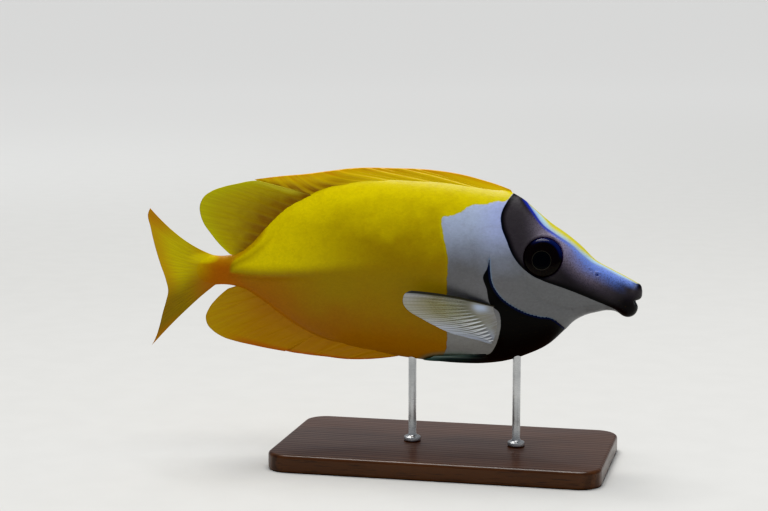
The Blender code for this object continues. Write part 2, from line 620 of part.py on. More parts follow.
def fins():
    standing = [
        folded_spines("dorsal_fin_spiny", DORSAL_SPINY),
        edge_fin("dorsal_fin_soft", DORSAL_SOFT),
        folded_spines("anal_fin_spiny", ANAL_SPINY),
        edge_fin("anal_fin_soft", ANAL_SOFT),
    ]
    for side, word in ((-1, "right"), (1, "left")):
        standing.append(pectoral_fin("pectoral_fin_" + word, side))
        pelvic_fin("pelvic_fin_" + word, side)
    for fin in standing:
        combine(fin, [clearance()], "DIFFERENCE")
    tail_fin()


def stand():
    # The base is lofted through loops of its outline, inset at the rounded edges; the rods end in the belly.
    length, width, height = BASE_SIZE
    corner = np.radians(np.linspace(0, 90, 7))
    levels = [
        (BASE_UNDERCUT, 0.0), (0.0, BASE_UNDERCUT), (0.0, height - BASE_BEVEL),
        (BASE_BEVEL * 0.3, height - BASE_BEVEL * 0.3), (BASE_BEVEL, height),
    ]
    vertices = []
    for inset, level in levels:
        radius = BASE_CORNER - inset
        for quarter in range(4):
            cx = BASE_CENTRE_X + (length / 2 - BASE_CORNER) * (1 if quarter in (0, 3) else -1)
            cy = (width / 2 - BASE_CORNER) * (1 if quarter in (0, 1) else -1)
            turn = corner + quarter * math.pi / 2
            vertices += [(cx + radius * math.cos(t), cy + radius * math.sin(t), level) for t in turn]
    count = 4 * len(corner)
    faces = [tuple(range(count)), tuple(range(len(vertices) - count, len(vertices)))]
    for k in range(len(levels) - 1):
        for j in range(count):
            n = (j + 1) % count
            faces.append((k * count + j, k * count + n, (k + 1) * count + n, (k + 1) * count + j))
    make("stand_base", vertices, faces)
    for word, x in zip(("front", "rear"), ROD_AT):
        foot = height + GAP
        top = float(smooth(BELLY, x)) + ROD_INTO_BODY
        ring_profile = [(radius, foot + rise) for radius, rise in FOOT_RING]
        profile = [(0, foot)] + ring_profile + [(ROD_RADIUS, top), (0, top)]
        rod = turned("stand_rod_" + word, profile, np.array([x, 0.0, 0.0]), (0.0, 0.0, 1.0), 20)
        combine(rod, [clearance()], "DIFFERENCE")


def bent(points):
    # Swings the tail: x is measured along the spine, and y stays square to it.
    radius = (BEND_START - BEND_END) / BEND_ANGLE
    past = np.clip(BEND_START - points[:, 0], 0, BEND_START - BEND_END)
    angle = past / radius
    rest = np.clip(BEND_START - points[:, 0] - past, 0, None)
    straight = np.maximum(points[:, 0], BEND_START)
    x = straight - radius * np.sin(angle) - rest * np.cos(angle) - points[:, 1] * np.sin(angle)
    y = -radius * (1 - np.cos(angle)) - rest * np.sin(angle) + points[:, 1] * np.cos(angle)
    return np.stack([x, y, points[:, 2]], axis=1)


def place_in_metres():
    solids = list(bpy.context.scene.objects)
    shapes = []
    for solid in solids:
        points = np.empty(len(solid.data.vertices) * 3)
        solid.data.vertices.foreach_get("co", points)
        points = points.reshape(-1, 3)
        shapes.append(points if solid.name.startswith("stand_") else bent(points))
    every = np.concatenate(shapes)
    middle = (every[:, 0].max() + every[:, 0].min()) / 2
    for solid, points in zip(solids, shapes):
        points[:, 0] -= middle
        solid.data.vertices.foreach_set("co", (points * 0.001).ravel())
        solid.data.update()
        finish(solid)


def finish(solid):
    # Gives the solid its material and smooth shading with creases kept sharp.
    kind = next(start for start in LOOKS if solid.name.startswith(start))
    colour, roughness, metallic = LOOKS[kind]
    paint = bpy.data.materials.new(solid.name + "_finish")
    paint.use_nodes = True
    shader = paint.node_tree.nodes["Principled BSDF"]
    shader.inputs["Base Color"].default_value = (*colour, 1.0)
    shader.inputs["Roughness"].default_value = roughness
    shader.inputs["Metallic"].default_value = metallic
    solid.data.materials.clear()
    solid.data.materials.append(paint)
    solid.data.shade_smooth()
    solid.data.set_sharp_from_angle(angle=math.radians(35))


def main():
    for leftover in list(bpy.data.objects):
        bpy.data.objects.remove(leftover)
    head_and_jaw()
    trunk()
    for side, word in ((-1, "right"), (1, "left")):
        eye("eye_" + word, side)
    fins()
    stand()
    place_in_metres()


main()
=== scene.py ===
# Foxface rabbitfish on a plain display stand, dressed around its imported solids.
# Shapes are worked out in millimetres on a straight fish, snout towards +X, then bent and turned to metres.
import math

import bmesh
import bpy
import numpy as np
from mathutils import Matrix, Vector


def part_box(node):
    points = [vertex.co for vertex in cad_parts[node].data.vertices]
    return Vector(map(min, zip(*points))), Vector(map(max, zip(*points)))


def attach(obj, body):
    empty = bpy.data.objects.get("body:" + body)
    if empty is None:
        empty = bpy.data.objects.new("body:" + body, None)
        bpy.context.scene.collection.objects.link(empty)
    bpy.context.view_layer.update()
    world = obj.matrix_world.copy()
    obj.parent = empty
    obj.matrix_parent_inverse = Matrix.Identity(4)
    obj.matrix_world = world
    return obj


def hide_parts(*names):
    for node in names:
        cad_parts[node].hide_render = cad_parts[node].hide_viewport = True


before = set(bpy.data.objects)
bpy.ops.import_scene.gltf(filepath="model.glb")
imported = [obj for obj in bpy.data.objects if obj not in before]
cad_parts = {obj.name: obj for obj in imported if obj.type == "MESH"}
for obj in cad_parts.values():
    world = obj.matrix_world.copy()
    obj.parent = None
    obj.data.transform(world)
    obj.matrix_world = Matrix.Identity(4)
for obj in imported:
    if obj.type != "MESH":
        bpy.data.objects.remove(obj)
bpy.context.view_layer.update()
mm = 0.001
sides = ((-1, "right"), (1, "left"))  # the sign of y on each side
mergeReach = 2e-6  # points closer than this, in m, become one

# The fish's own outline, as (x, height) or (x, value) points that a smooth curve runs through.
body = {
    "back": [(99.7, 71.2), (99.3, 72.4), (98.6, 73.5), (97.4, 74.5), (94.8, 76), (87.7, 79.5), (80.6, 83.5),
        (76, 88), (70.1, 92.7), (63.6, 97.1), (58, 101.7), (52.5, 106.2), (47, 109), (40, 110.1),
        (25, 112.2), (6, 113.2), (-4, 113.1), (-14, 112.2), (-24.4, 109.9), (-35.6, 105), (-44.6, 99.8),
        (-52.3, 92.4), (-58, 86), (-63, 82), (-68, 80.6), (-75, 81.2)],
    "belly": [(94.2, 60.9), (92.2, 61.4), (89.6, 62.9), (86.8, 63.3), (82, 62.4), (77.5, 61), (72.8, 58.2),
        (69.3, 54.6), (64.4, 49.8), (54.5, 44.3), (46, 41.4), (38, 40.1), (28, 39.7), (13.5, 40.4),
        (3, 41.4), (-8, 43), (-20, 45), (-36, 50.2), (-46, 56), (-54, 62), (-61, 66.6), (-68, 68.6),
        (-75, 68.4)],
    "halfWidth": [(99.7, 1.7), (99, 3), (97.4, 3.9), (94, 4.3), (88, 4.9), (80, 6.4), (72, 8.2), (62, 10),
        (52, 11.2), (42, 12.1), (30, 12.7), (15, 12.7), (0, 12), (-15, 10.6), (-30, 8.6), (-42, 6.7),
        (-52, 5), (-60, 3.8), (-68, 3), (-75, 2.5)],
    "widest": [(99.7, 70.8), (97.4, 68.4), (88, 70.5), (72, 74), (50, 75), (0, 77), (-75, 74.8)],
    "upperFullness": [(99.7, 2), (85, 2.1), (62, 1.75), (45, 1.65), (0, 1.65), (-50, 1.75), (-75, 2)],
    "lowerFullness": [(99.7, 2), (85, 2.1), (62, 1.6), (40, 1.55), (0, 1.65), (-50, 1.75), (-75, 2)],
    "snoutTip": 99.7,
    "bendStart": -44, "bendEnd": -84, "bendDegrees": 32,
    "ringPoints": 248,
}
# The lips and the tail's fleshy root: where the rings stop being upright, their upper, lower and side points.
lips = {
    "start": 88,
    "upper": [(91.4, 77.7), (94.8, 76), (97.4, 74.6), (98.9, 73.4), (99.5, 71.9), (99.6, 70.2),
        (99.3, 68.8), (98.4, 68), (96.6, 68), (94.6, 68.4), (92.6, 68.8)],
    "lower": [(89.4, 62.95), (91, 62.1), (92.6, 61.2), (94.4, 60.9), (96.2, 61.5), (97.5, 62.9), (98, 64.6),
        (97.6, 66), (96.5, 66.9), (94.8, 67.3), (92.8, 67.6)],
    "side": [(90.2, 69.7), (92.2, 68.9), (93.8, 68.3), (95, 67.9), (95.9, 67.7), (96.5, 67.6), (96.6, 67.6),
        (96.2, 67.6), (95.2, 67.7), (94, 67.9), (92.6, 68.2)],
    "halfWidth": [4.75, 4.62, 4.52, 4.45, 4.3, 3.9, 3.4, 2.9, 2.4, 1.8, 0.9],
}
tailFlesh = {
    "start": -75,
    "upper": [(-76.4, 81.2), (-78, 81), (-79.8, 80.4), (-81.4, 79.4)],
    "lower": [(-76.4, 68.4), (-78, 68.6), (-79.8, 69.2), (-81.4, 70.2)],
    "side": [(-76.8, 74.8), (-78.8, 74.7), (-80.8, 74.7), (-82.6, 74.7)],
    "halfWidth": [2, 1.4, 0.72, 0.1],
}


def slopesOf(xs, ys):  # each inner slope is that of the parabola through a point and its two neighbours
    step = np.diff(xs)
    rise = np.diff(ys) / step
    inner = (step[:-1] * rise[1:] + step[1:] * rise[:-1]) / (step[:-1] + step[1:])
    return np.concatenate([[2 * rise[0] - inner[0]], inner, [2 * rise[-1] - inner[-1]]])


def curveAt(points, x):  # cubic pieces through (x, value) points, sharing slopes
    xs, ys = np.array(sorted(points), dtype=float).T
    slope = slopesOf(xs, ys)
    x = np.clip(x, xs[0], xs[-1])
    i = np.clip(np.searchsorted(xs, x) - 1, 0, len(xs) - 2)
    h = xs[i + 1] - xs[i]
    t = (x - xs[i]) / h
    return (ys[i] * (1 + 2 * t) * (1 - t) ** 2 + ys[i + 1] * t * t * (3 - 2 * t)
            + h * slope[i] * t * (1 - t) ** 2 - h * slope[i + 1] * t * t * (1 - t))


def pathAt(points, share):  # points at shares of the length of a smooth path
    points = np.array(points, dtype=float)
    length = np.concatenate([[0], np.cumsum(np.linalg.norm(np.diff(points, axis=0), axis=1))])
    length /= length[-1]
    return np.stack([curveAt(list(zip(length, column)), share) for column in points.T], axis=-1)


def stepped(low, high, value):  # 0 below low, 1 above high, an S between
    t = np.clip((value - low) / (high - low), 0, 1)
    return t * t * (3 - 2 * t)


def bump(distance, width):  # a bell, 1 at no distance
    return np.exp(-((distance / width) ** 2))


def distanceToPath(x, z, path):  # shortest distance to a run of straight pieces
    path = np.array(path, dtype=float)
    best = np.full(np.shape(x), 1e9)
    for (ax, az), (bx, bz) in zip(path[:-1], path[1:]):
        dx, dz = bx - ax, bz - az
        t = np.clip(((x - ax) * dx + (z - az) * dz) / max(dx * dx + dz * dz, 1e-9), 0, 1)
        best = np.minimum(best, np.hypot(x - ax - t * dx, z - az - t * dz))
    return best


def insideBy(x, z, outline):  # distance to a closed outline, positive inside it
    outline = np.array(outline, dtype=float)
    closed = np.vstack([outline, outline[:1]])
    crossings = np.zeros(np.shape(x), dtype=int)
    for (ax, az), (bx, bz) in zip(closed[:-1], closed[1:]):
        if az == bz:
            continue
        spans = (z >= min(az, bz)) & (z < max(az, bz))
        crossings += spans & (x < ax + (z - az) * (bx - ax) / (bz - az))
    return distanceToPath(x, z, closed) * np.where(crossings % 2 == 1, 1, -1)


def rounded(points, count=90):  # the points' smooth path, as many short straight pieces
    return pathAt(points, np.linspace(0, 1, count))


def flankAt(x, z):  # half width of the plain body: a superellipse between its widest line and its edge
    wide = curveAt(body["widest"], x)
    above = z > wide
    reach = np.where(above, curveAt(body["back"], x) - wide, wide - curveAt(body["belly"], x))
    fullness = np.where(above, curveAt(body["upperFullness"], x), curveAt(body["lowerFullness"], x))
    c = np.clip(np.abs(z - wide) / reach, 0, 1)
    return curveAt(body["halfWidth"], x) * (1 - c ** fullness) ** (1 / fullness)


def flankPlace(x, z, side):  # a point on the flank and the unit normal there
    step = 0.4
    y = flankAt(x, z)
    normal = np.stack([-(flankAt(x + step, z) - flankAt(x - step, z)) / (2 * step), np.ones_like(y) * side,
                       -(flankAt(x, z + step) - flankAt(x, z - step)) / (2 * step)], axis=-1)
    return np.stack([x, y * side, z], axis=-1), normal / np.linalg.norm(normal, axis=-1, keepdims=True)


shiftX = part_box("head")[1][0] / mm - body["snoutTip"]


def inFrame(points):  # swings the tail to -Y round an arc, then places the fish in the frame, in metres
    start, length = body["bendStart"], body["bendStart"] - body["bendEnd"]
    radius = length / math.radians(body["bendDegrees"])
    along, off, height = points[..., 0], points[..., 1], points[..., 2]
    past = np.clip(start - along, 0, length)
    angle = past / radius
    rest = np.clip(start - along - past, 0, None)
    x = np.maximum(along, start) - radius * np.sin(angle) - rest * np.cos(angle) - off * np.sin(angle)
    y = -radius * (1 - np.cos(angle)) - rest * np.sin(angle) + off * np.cos(angle)
    return np.stack([x + shiftX, y, height], axis=-1) * mm


def meshFrom(name, points, faces, values=None, sharp=None):
    # A piece from its points and four-cornered faces; values are its named attributes, one for each point.
    mesh = bpy.data.meshes.new(name)
    mesh.vertices.add(len(points))
    mesh.vertices.foreach_set("co", np.asarray(points, dtype=np.float32).ravel())
    faces = np.asarray(faces, dtype=np.int32)
    mesh.loops.add(faces.size)
    mesh.loops.foreach_set("vertex_index", faces.ravel())
    mesh.polygons.add(len(faces))
    mesh.polygons.foreach_set("loop_start", np.arange(0, faces.size, faces.shape[1], dtype=np.int32))
    mesh.update(calc_edges=True)
    for key, value in (values or {}).items():
        flat = np.asarray(value, dtype=np.float32)
        kind, part = ("FLOAT_VECTOR", "vector") if flat.size == len(points) * 3 else ("FLOAT", "value")
        mesh.attributes.new(key, kind, "POINT").data.foreach_set(part, flat.ravel())
    shape = bmesh.new()
    shape.from_mesh(mesh)
    bmesh.ops.remove_doubles(shape, verts=shape.verts, dist=mergeReach)
    bmesh.ops.dissolve_degenerate(shape, edges=shape.edges, dist=mergeReach / 4)
    bmesh.ops.recalc_face_normals(shape, faces=shape.faces)
    if shape.calc_volume(signed=True) < 0:
        bmesh.ops.reverse_faces(shape, faces=shape.faces)
    shape.to_mesh(mesh)
    shape.free()
    mesh.shade_smooth()
    if sharp:
        mesh.set_sharp_from_angle(angle=math.radians(sharp))
    piece = bpy.data.objects.new(name, mesh)
    bpy.context.scene.collection.objects.link(piece)
    return piece


def gridFaces(rows, columns, closed=False):  # faces of a grid, joined round its columns when closed
    across = columns if closed else columns - 1
    i, j = np.meshgrid(np.arange(rows - 1), np.arange(across), indexing="ij")
    n = (j + 1) % columns
    corners = [i * columns + j, i * columns + n, (i + 1) * columns + n, (i + 1) * columns + j]
    return np.stack(corners, -1).reshape(-1, 4)


def spread(columns, rows):  # shares across a fin, and from its root to its edge, of a grid
    return np.linspace(0, 1, columns)[None, :], np.linspace(0, 1, rows)[:, None]


def gathered(grid):  # closes rings of points: one more row at each end, all at the end ring's middle
    ends = [np.broadcast_to(ring.mean(axis=1, keepdims=True), ring.shape) for ring in (grid[:1], grid[-1:])]
    return np.concatenate([ends[0], grid, ends[1]])


def normalsOf(points):  # unit normals of a grid of points, closed round its columns
    wrapped = np.concatenate([points[:, -1:], points, points[:, :1]], axis=1)
    across = wrapped[:, 2:] - wrapped[:, :-2]
    along = np.gradient(points, axis=0)
    normal = np.cross(across, along)
    return normal / np.maximum(np.linalg.norm(normal, axis=-1, keepdims=True), 1e-9)


# Places of the markings, as (x, height) on the straight fish's side, and the lines its head is built on.
marks = {
    "maskRear": [(50.5, 111.5), (49.4, 109.4), (46.8, 105.4), (44.9, 100.4), (45.4, 96), (47.6, 90.8),
        (50, 85.5), (53.3, 81.2), (57, 78.2), (61.8, 75.7), (68.4, 73.3), (74.2, 71.1), (80.8, 68.2),
        (86.4, 65.7), (89.6, 64), (91.4, 60.6)],
    "maskFront": [(104, 73.4), (99, 73.9), (96.5, 74.7), (91.9, 76.6), (84.8, 80.1), (79.9, 82.5),
        (76.6, 85.2), (72.9, 88.5), (66.7, 92.5), (61.4, 96.3), (57, 101.6), (53.1, 106.5)],
    "chestFront": [(41.4, 83.6), (41.6, 79), (42.5, 74), (46, 68.5), (50.8, 64.8), (56, 62.2), (60.6, 61),
        (65.4, 60.2), (68.2, 57.8), (70.9, 53.9)],
    "chestRear": [(12, 40.5), (16.1, 42.6), (21.2, 43.6), (28, 44), (35.3, 43.9), (40.8, 45), (43, 48.4),
        (44.7, 53.1), (45.6, 58.5), (45, 62.8), (41.7, 65.9), (40.4, 71.7), (39, 76.7), (40.6, 80.2),
        (41.2, 83.4)],
    "yellowEdge": [(50, 112.5), (49.2, 109.6), (46.7, 105.9), (42.3, 105.4), (38.4, 104.2), (33.4, 104),
        (30.5, 102.2), (26, 99.8), (21.9, 99), (22.2, 95), (23.3, 90.6), (24.6, 85.6), (24.9, 76.7),
        (24.6, 71.1), (24.3, 60), (24, 51.8), (22.6, 45), (19, 40.4)],
    "gillEdge": [(41.3, 83.5), (41.6, 79), (42.5, 74), (46, 68.4), (50.8, 64.7), (56, 62.1), (60.6, 60.9),
        (65.4, 60.1), (68.4, 57.6), (70.9, 53.9)],
    "preopercle": [(50, 85), (53.4, 81.4), (55.6, 76.4), (57.4, 72.4), (61, 68.4), (66.4, 65.4),
        (72.6, 63.6)],
    "shoulder": [(-52, 90), (-59.4, 82.4), (-62.9, 80.2), (-65.1, 78.9), (-66.8, 76.6), (-67, 74.4)],
    "crease": [(-66.4, 73.9), (-62.9, 73.6), (-58.6, 73.2), (-53.5, 73.1), (-44, 73.6), (-30, 74.6)],
}
eyes = {
    "at": (61.9, 84.5), "radius": 7.55, "bulge": 2.3, "sunk": 0.35, "pupilOffset": (-0.7, -1.3),
    "rings": 44, "spokes": 112,
    "overlap": 0.25, "seat": 0.9, "edgeDrop": 1,  # wider than its socket, set back, and its edge turned in
}
# place, radius, depth and rim of each nostril
nostrils = [((82.5, 77.8), 0.5, 0.7, 0.32), ((79.9, 79.6), 0.4, 0.4, 0.12)]
# Heights and depths in mm, each with the width of its bell where it has one.
headRelief = {
    "brow": (0.65, 10), "eyeRim": (0.16, 0.6), "socketDepth": 2.6,
    "cover": (0.5, 5), "coverGroove": (0.45, 1.3),
    "preopercleGroove": (0.28, 0.75), "cheek": (0.3, 6), "lipGroove": (0.16, 0.9), "lipFold": (0.2, 1.5),
    "finLobe": 1.2, "shoulder": 0.75, "shoulderGroove": (0.3, 0.9), "shoulderFade": 9,
}
lipBack = [(98.6, 76), (96, 73), (94.2, 70), (92.2, 67.6), (90.6, 65), (90.2, 62)]
lipFold = [(98.4, 74), (97.2, 71), (95.4, 67.6), (93.6, 63.6)]


def skinRings():
    # Each ring runs round through an upper, a side and a lower guide point, as two superellipse halves.
    rear = np.linspace(tailFlesh["start"], 38, 122)
    front = np.linspace(38, lips["start"], 176)[1:]
    x = np.concatenate([rear, front])
    main = {
        "upper": np.stack([x, curveAt(body["back"], x)], 1),
        "lower": np.stack([x, curveAt(body["belly"], x)], 1),
        "side": np.stack([x, curveAt(body["widest"], x), curveAt(body["halfWidth"], x)], 1),
    }

    def carriedOn(end, part, count):  # goes on from two main rings through the listed points
        guides = {}
        for key in ("upper", "lower", "side"):
            listed = np.array(part[key], dtype=float)
            if key == "side":
                listed = np.column_stack([listed, part["halfWidth"]])
            known = main[key][::-1][[8, 0]] if end else main[key][[4, 0]]
            points = np.vstack([known, listed])
            at = np.arange(len(points)) - 1
            t = np.linspace(0, at[-1], count + 1)[1:]
            guides[key] = np.stack([curveAt(list(zip(at, column)), t) for column in points.T], 1)
        return guides

    tip, tail = carriedOn(True, lips, 72), carriedOn(False, tailFlesh, 14)
    guide = {key: np.vstack([tail[key][::-1], main[key], tip[key]]) for key in main}
    angle = np.arange(body["ringPoints"]) * 2 * math.pi / body["ringPoints"]
    c, side = np.cos(angle)[None, :], np.sign(np.round(np.sin(angle), 9))[None, :]
    upper, lower, wide = (guide[key][:, None, :] for key in ("upper", "lower", "side"))
    end = np.where(c[..., None] > 0, upper, lower)
    at = wide[..., 0]
    fullness = np.where(c > 0, curveAt(body["upperFullness"], at), curveAt(body["lowerFullness"], at))
    height = np.abs(c)
    px = wide[..., 0] + (end[..., 0] - wide[..., 0]) * height ** 1.6
    pz = wide[..., 1] + (end[..., 1] - wide[..., 1]) * height
    py = wide[..., 2] * np.clip(1 - height ** fullness, 0, 1) ** (1 / fullness) * side
    return np.stack([px, py, pz], -1)


def skinRelief(points):
    # Height of the skin above the plain form, in mm: the eye's socket, gill cover, nostrils, lips, fin lobe
    # and the rear shoulder, each a bell or an S of the distance to its place.
    x, y, z = points[..., 0], points[..., 1], points[..., 2]
    side = np.clip(np.abs(y) / 2, 0, 1)

    def raisedBy(key, distance):
        height, width = headRelief[key]
        return height * bump(distance, width)

    fromEye = np.hypot(x - eyes["at"][0], z - eyes["at"][1])
    height, width = headRelief["brow"]
    relief = height * np.exp(-((fromEye / width) ** 4))
    relief += raisedBy("eyeRim", fromEye - eyes["radius"] - 0.6)
    relief -= headRelief["socketDepth"] * (1 - stepped(eyes["radius"] - 0.7, eyes["radius"] + 0.22, fromEye))
    gill = rounded(marks["gillEdge"])
    fromGill = distanceToPath(x, z, gill)
    cover = insideBy(x, z, np.vstack([gill, [(120, 50), (120, 130), (44, 130)]]))
    atGill = np.where(cover > 0, raisedBy("cover", fromGill), -raisedBy("coverGroove", fromGill))
    relief += stepped(0, 6, 90 - z) * atGill
    relief -= raisedBy("preopercleGroove", distanceToPath(x, z, rounded(marks["preopercle"])))
    relief += raisedBy("cheek", np.hypot(x - 63, (z - 70) * 1.5))
    for (nx, nz), radius, depth, rim in nostrils:
        fromHole = np.hypot(x - nx, z - nz)
        relief += rim * bump(fromHole - radius - 0.45, 0.4)
        relief -= depth * bump(fromHole, radius)
    relief -= raisedBy("lipGroove", distanceToPath(x, z, rounded(lipBack)))
    relief += raisedBy("lipFold", distanceToPath(x, z, rounded(lipFold)))
    relief += headRelief["finLobe"] * np.exp(-(((x - 42.4) / 3.3) ** 2) - (((z - 58) / 8.4) ** 4))
    shelf = np.vstack([rounded(marks["shoulder"]), rounded(marks["crease"])])
    above = insideBy(x, z, np.vstack([shelf, [(-20, 75), (-20, 120), (-52, 120)]]))
    shown = (1 - stepped(-44, -26, x)) * (1 - stepped(82, 91, z))
    fade = np.exp(-np.clip(above - 2, 0, None) / headRelief["shoulderFade"])
    relief += shown * headRelief["shoulder"] * stepped(-0.8, 1.1, above) * fade
    relief -= shown * raisedBy("shoulderGroove", above + 1)
    side = np.where(x > 90, np.clip(side * 3, 0, 1), side)
    return relief * side


def makeSkin():
    plain = skinRings()
    normal = normalsOf(plain)
    if np.mean(normal[..., 1] * plain[..., 1]) < 0:
        normal = -normal
    points = gathered(plain + normal * skinRelief(plain)[..., None])
    plain = gathered(plain)
    flat = plain.reshape(-1, 3)
    x, z = flat[:, 0], flat[:, 2]
    path = {key: rounded(points) for key, points in marks.items()}

    def inside(*runs):
        return insideBy(x, z, np.vstack(runs))

    mask = inside(path["maskRear"], [(90.8, 55), (110, 55)], path["maskFront"], [(53, 108.4), (51.5, 111.5)])
    chest = inside(path["chestFront"], [(76, 52), (60, 34), (14, 34)], path["chestRear"])
    yellow = inside(path["yellowEdge"], [(17, 30), (-120, 30), (-120, 130), (51, 130)])
    above = inside(path["shoulder"], path["crease"], [(10, 79), (30, 130), (-52, 130)])
    gill, blaze = distanceToPath(x, z, path["gillEdge"]), distanceToPath(x, z, path["maskFront"])
    rise = (z - curveAt(body["belly"], x)) / (curveAt(body["back"], x) - curveAt(body["belly"], x))
    values = {
        "place": flat,
        "marksA": np.stack([mask, chest, yellow], 1),
        "marksB": np.stack([gill, blaze, rise], 1),
        "above": above,
    }
    faces = gridFaces(*plain.shape[:2], True)
    return meshFrom("fish_skin", inFrame(points.reshape(-1, 3)), faces, values)


def finSheet(name, middle, half, ray, reach, across, **more):
    # A closed sheet about the grid middle[row, column]; its half thickness falls to nothing at every edge.
    values = {"ray": ray, "reach": reach, "across": across, **more}
    down, over = np.gradient(middle, axis=0), np.gradient(middle, axis=1)
    normal = np.cross(over, down)
    normal /= np.maximum(np.linalg.norm(normal, axis=-1, keepdims=True), 1e-9)
    rows, columns = half.shape
    edge = np.ones_like(half)
    edge[[0, -1], :] = 0
    edge[:, [0, -1]] = 0
    thick = (half * edge)[..., None]
    front, back = middle + normal * thick, middle - normal * thick
    points = np.vstack([front.reshape(-1, 3), back.reshape(-1, 3)])
    faces = gridFaces(rows, columns)
    faces = np.vstack([faces, faces[:, ::-1] + rows * columns])
    doubled = {key: np.tile(np.broadcast_to(value, half.shape).ravel(), 2) for key, value in values.items()}
    doubled["place"] = points
    return meshFrom(name, inFrame(points), faces, doubled)


def rayField(across, v, count, start=0, blend=0.06):
    # Height 0 to 1 of branching rays: each splits in two along its length, and the twins draw apart and split
    # again. Fine joints cross them.
    place = across * (count - 1)
    offset = np.abs(place - np.round(place))
    stem = bump(offset, 0.17) * (1 - stepped(0.3, 0.5, v)) * stepped(start, start + blend, v)
    gap = 0.23 * stepped(0.22, 0.75, v)
    twins = bump(offset - gap, 0.12) * stepped(0.26, 0.42, v) * (1 - 0.5 * stepped(0.6, 0.85, v))
    fine = np.minimum(np.abs(offset - gap - 0.11), np.abs(offset - gap + 0.11))
    splits = bump(fine, 0.055) * stepped(0.55, 0.8, v) * 0.8
    joints = 0.5 + 0.5 * np.sin(v * 2 * math.pi * 26)
    return np.maximum(np.maximum(stem, twins), splits) * (1 - 0.18 * joints * stepped(0.3, 0.5, v))


dorsalSoft = {
    "name": "dorsal_fin_soft_dressed", "rays": 10, "lean": -1.5, "rootHalf": 1.25,
    "base": [(-31.4, 105.3), (-38, 101), (-44, 96.8), (-51, 89.8), (-57, 83.6), (-62.4, 80)],
    "edge": [(-55.4, 111.2), (-59, 110.9), (-63.1, 110.1), (-69.2, 108.8), (-74.1, 107.2), (-77.6, 104.8),
        (-79.3, 101.2), (-79, 97.4), (-77.6, 93.8), (-75, 90), (-71.4, 85.4), (-67, 81.2)],
}
analSoft = {
    "name": "anal_fin_soft_dressed", "rays": 9, "lean": -1.5, "rootHalf": 1.15,
    "base": [(-29.6, 49.6), (-37, 53.4), (-46, 58.6), (-54, 64.6), (-61, 69)],
    "edge": [(-44.6, 41.5), (-51, 42.4), (-56.1, 43.4), (-65.4, 45.6), (-70.3, 47.3), (-74, 49.6),
        (-76.7, 52.6), (-77.4, 55.8), (-75.9, 59.4), (-72.8, 63.2), (-68, 67.2)],
}
dorsalSpiny = {
    "name": "dorsal_fin_spiny_dressed", "spines": 13, "rootHalf": 1.55, "oblique": 0.4, "free": 0.76,
    "base": [(49.2, 107), (40, 108.3), (25, 109.9), (5, 110.9), (-10, 110.4), (-24, 107.4), (-32, 105.2),
        (-39, 105.9), (-46.6, 106.7), (-51.6, 108.8), (-56.2, 111.2)],
    "edge": [(47.6, 109.6), (41.9, 111.7), (37.3, 113), (29.3, 115), (17.3, 116.7), (0, 117.2),
        (-15.3, 116.9), (-26, 115.5), (-35.5, 114.1), (-45, 113.1), (-56.8, 111.5)],
}
analSpiny = {
    "name": "anal_fin_spiny_dressed", "spines": 7, "rootHalf": 1.4, "oblique": 0.3, "free": 0.7,
    "base": [(4.2, 43.4), (-8, 45.5), (-20, 47.6), (-30, 49.8), (-38, 49.4)],
    "edge": [(2.6, 41.4), (-5, 40.1), (-19.6, 39.2), (-28, 39.8), (-36.4, 40.4), (-44.6, 41.5),
        (-47.4, 42.4)],
}
tailFin = {
    "name": "tail_fin_dressed", "rays": 17, "rootHalf": 1.9,
    "top": 80.4, "bottom": 69.2, "rootX": -72.4, "sweep": (-5.9, 2.2), "fleshy": 8,
    "edge": [(-99.2, 100.8), (-100.05, 98.8), (-99.1, 92.8), (-97.5, 85.3), (-95.5, 78.1), (-93.4, 71.5),
        (-92.6, 66.9), (-93.5, 63.1), (-95, 58.3), (-96.4, 53), (-98, 48.4), (-99.7, 45.2)],
}
pectoral = {
    "name": "pectoral_fin_dressed", "rays": 16, "splay": 21, "rootHalf": 1.3,
    "root": [(44.4, 64.2), (44.6, 58), (43, 50.4)],
    "edge": [(12.6, 71.8), (10, 70.4), (9.3, 67.6), (10.6, 64.6), (14, 62), (17.8, 59.6), (22.2, 57),
        (26.8, 54.6), (32, 52.8), (37, 51.1), (40.6, 49.6)],
    "sag": [(0, -2.6), (0.15, -1.2), (0.4, 1.2), (0.7, 3.2), (0.88, 3), (1, 0.8)],
    "raysBegin": [(0, 0.28), (0.3, 0.34), (0.6, 0.36), (0.85, 0.34), (1, 0.3)],
}
pelvic = {
    "name": "pelvic_fin_dressed", "rays": 5,
    "root": [(39.2, 44.6), (39.8, 43.1), (39.9, 41.5)],
    "tips": [(18.5, 42.8), (15, 41.8), (13, 41)],
}


web = {"half": 0.13, "ray": 0.16}  # half a fin's membrane in mm, and how far a ray stands out of it


def straight(low, high, v):  # from one row of points to another
    return low * (1 - v[..., None]) + high * v[..., None]


def bowed(low, bow, high, v):  # the same on curves with one control point each
    t = v[..., None]
    return low * (1 - t) ** 2 + 2 * bow * t * (1 - t) + high * t * t


def uprightFin(fin):
    # Rays run straight from the base to the edge; thick muscle at the root thins quickly to the membrane.
    across, v = spread(241, 76)
    flat = straight(pathAt(fin["base"], across[0]), pathAt(fin["edge"], across[0]), v)
    field = rayField(across, v, fin["rays"])
    y = fin["lean"] * v ** 2 + 0.25 * np.sin(across * 9 + 1) * v ** 2
    y = y + 0.1 * np.sin(across * (fin["rays"] - 1) * math.pi) * v
    middle = np.stack([flat[..., 0], y, flat[..., 1]], -1)
    half = web["half"] + (fin["rootHalf"] - web["half"]) * np.exp(-((v * 4.2) ** 1.25))
    half = half + web["ray"] * field * (1 - 0.7 * v)
    half *= 1 - 0.55 * stepped(0.92, 1, v)
    return finSheet(fin["name"], middle, half, field, v, across)


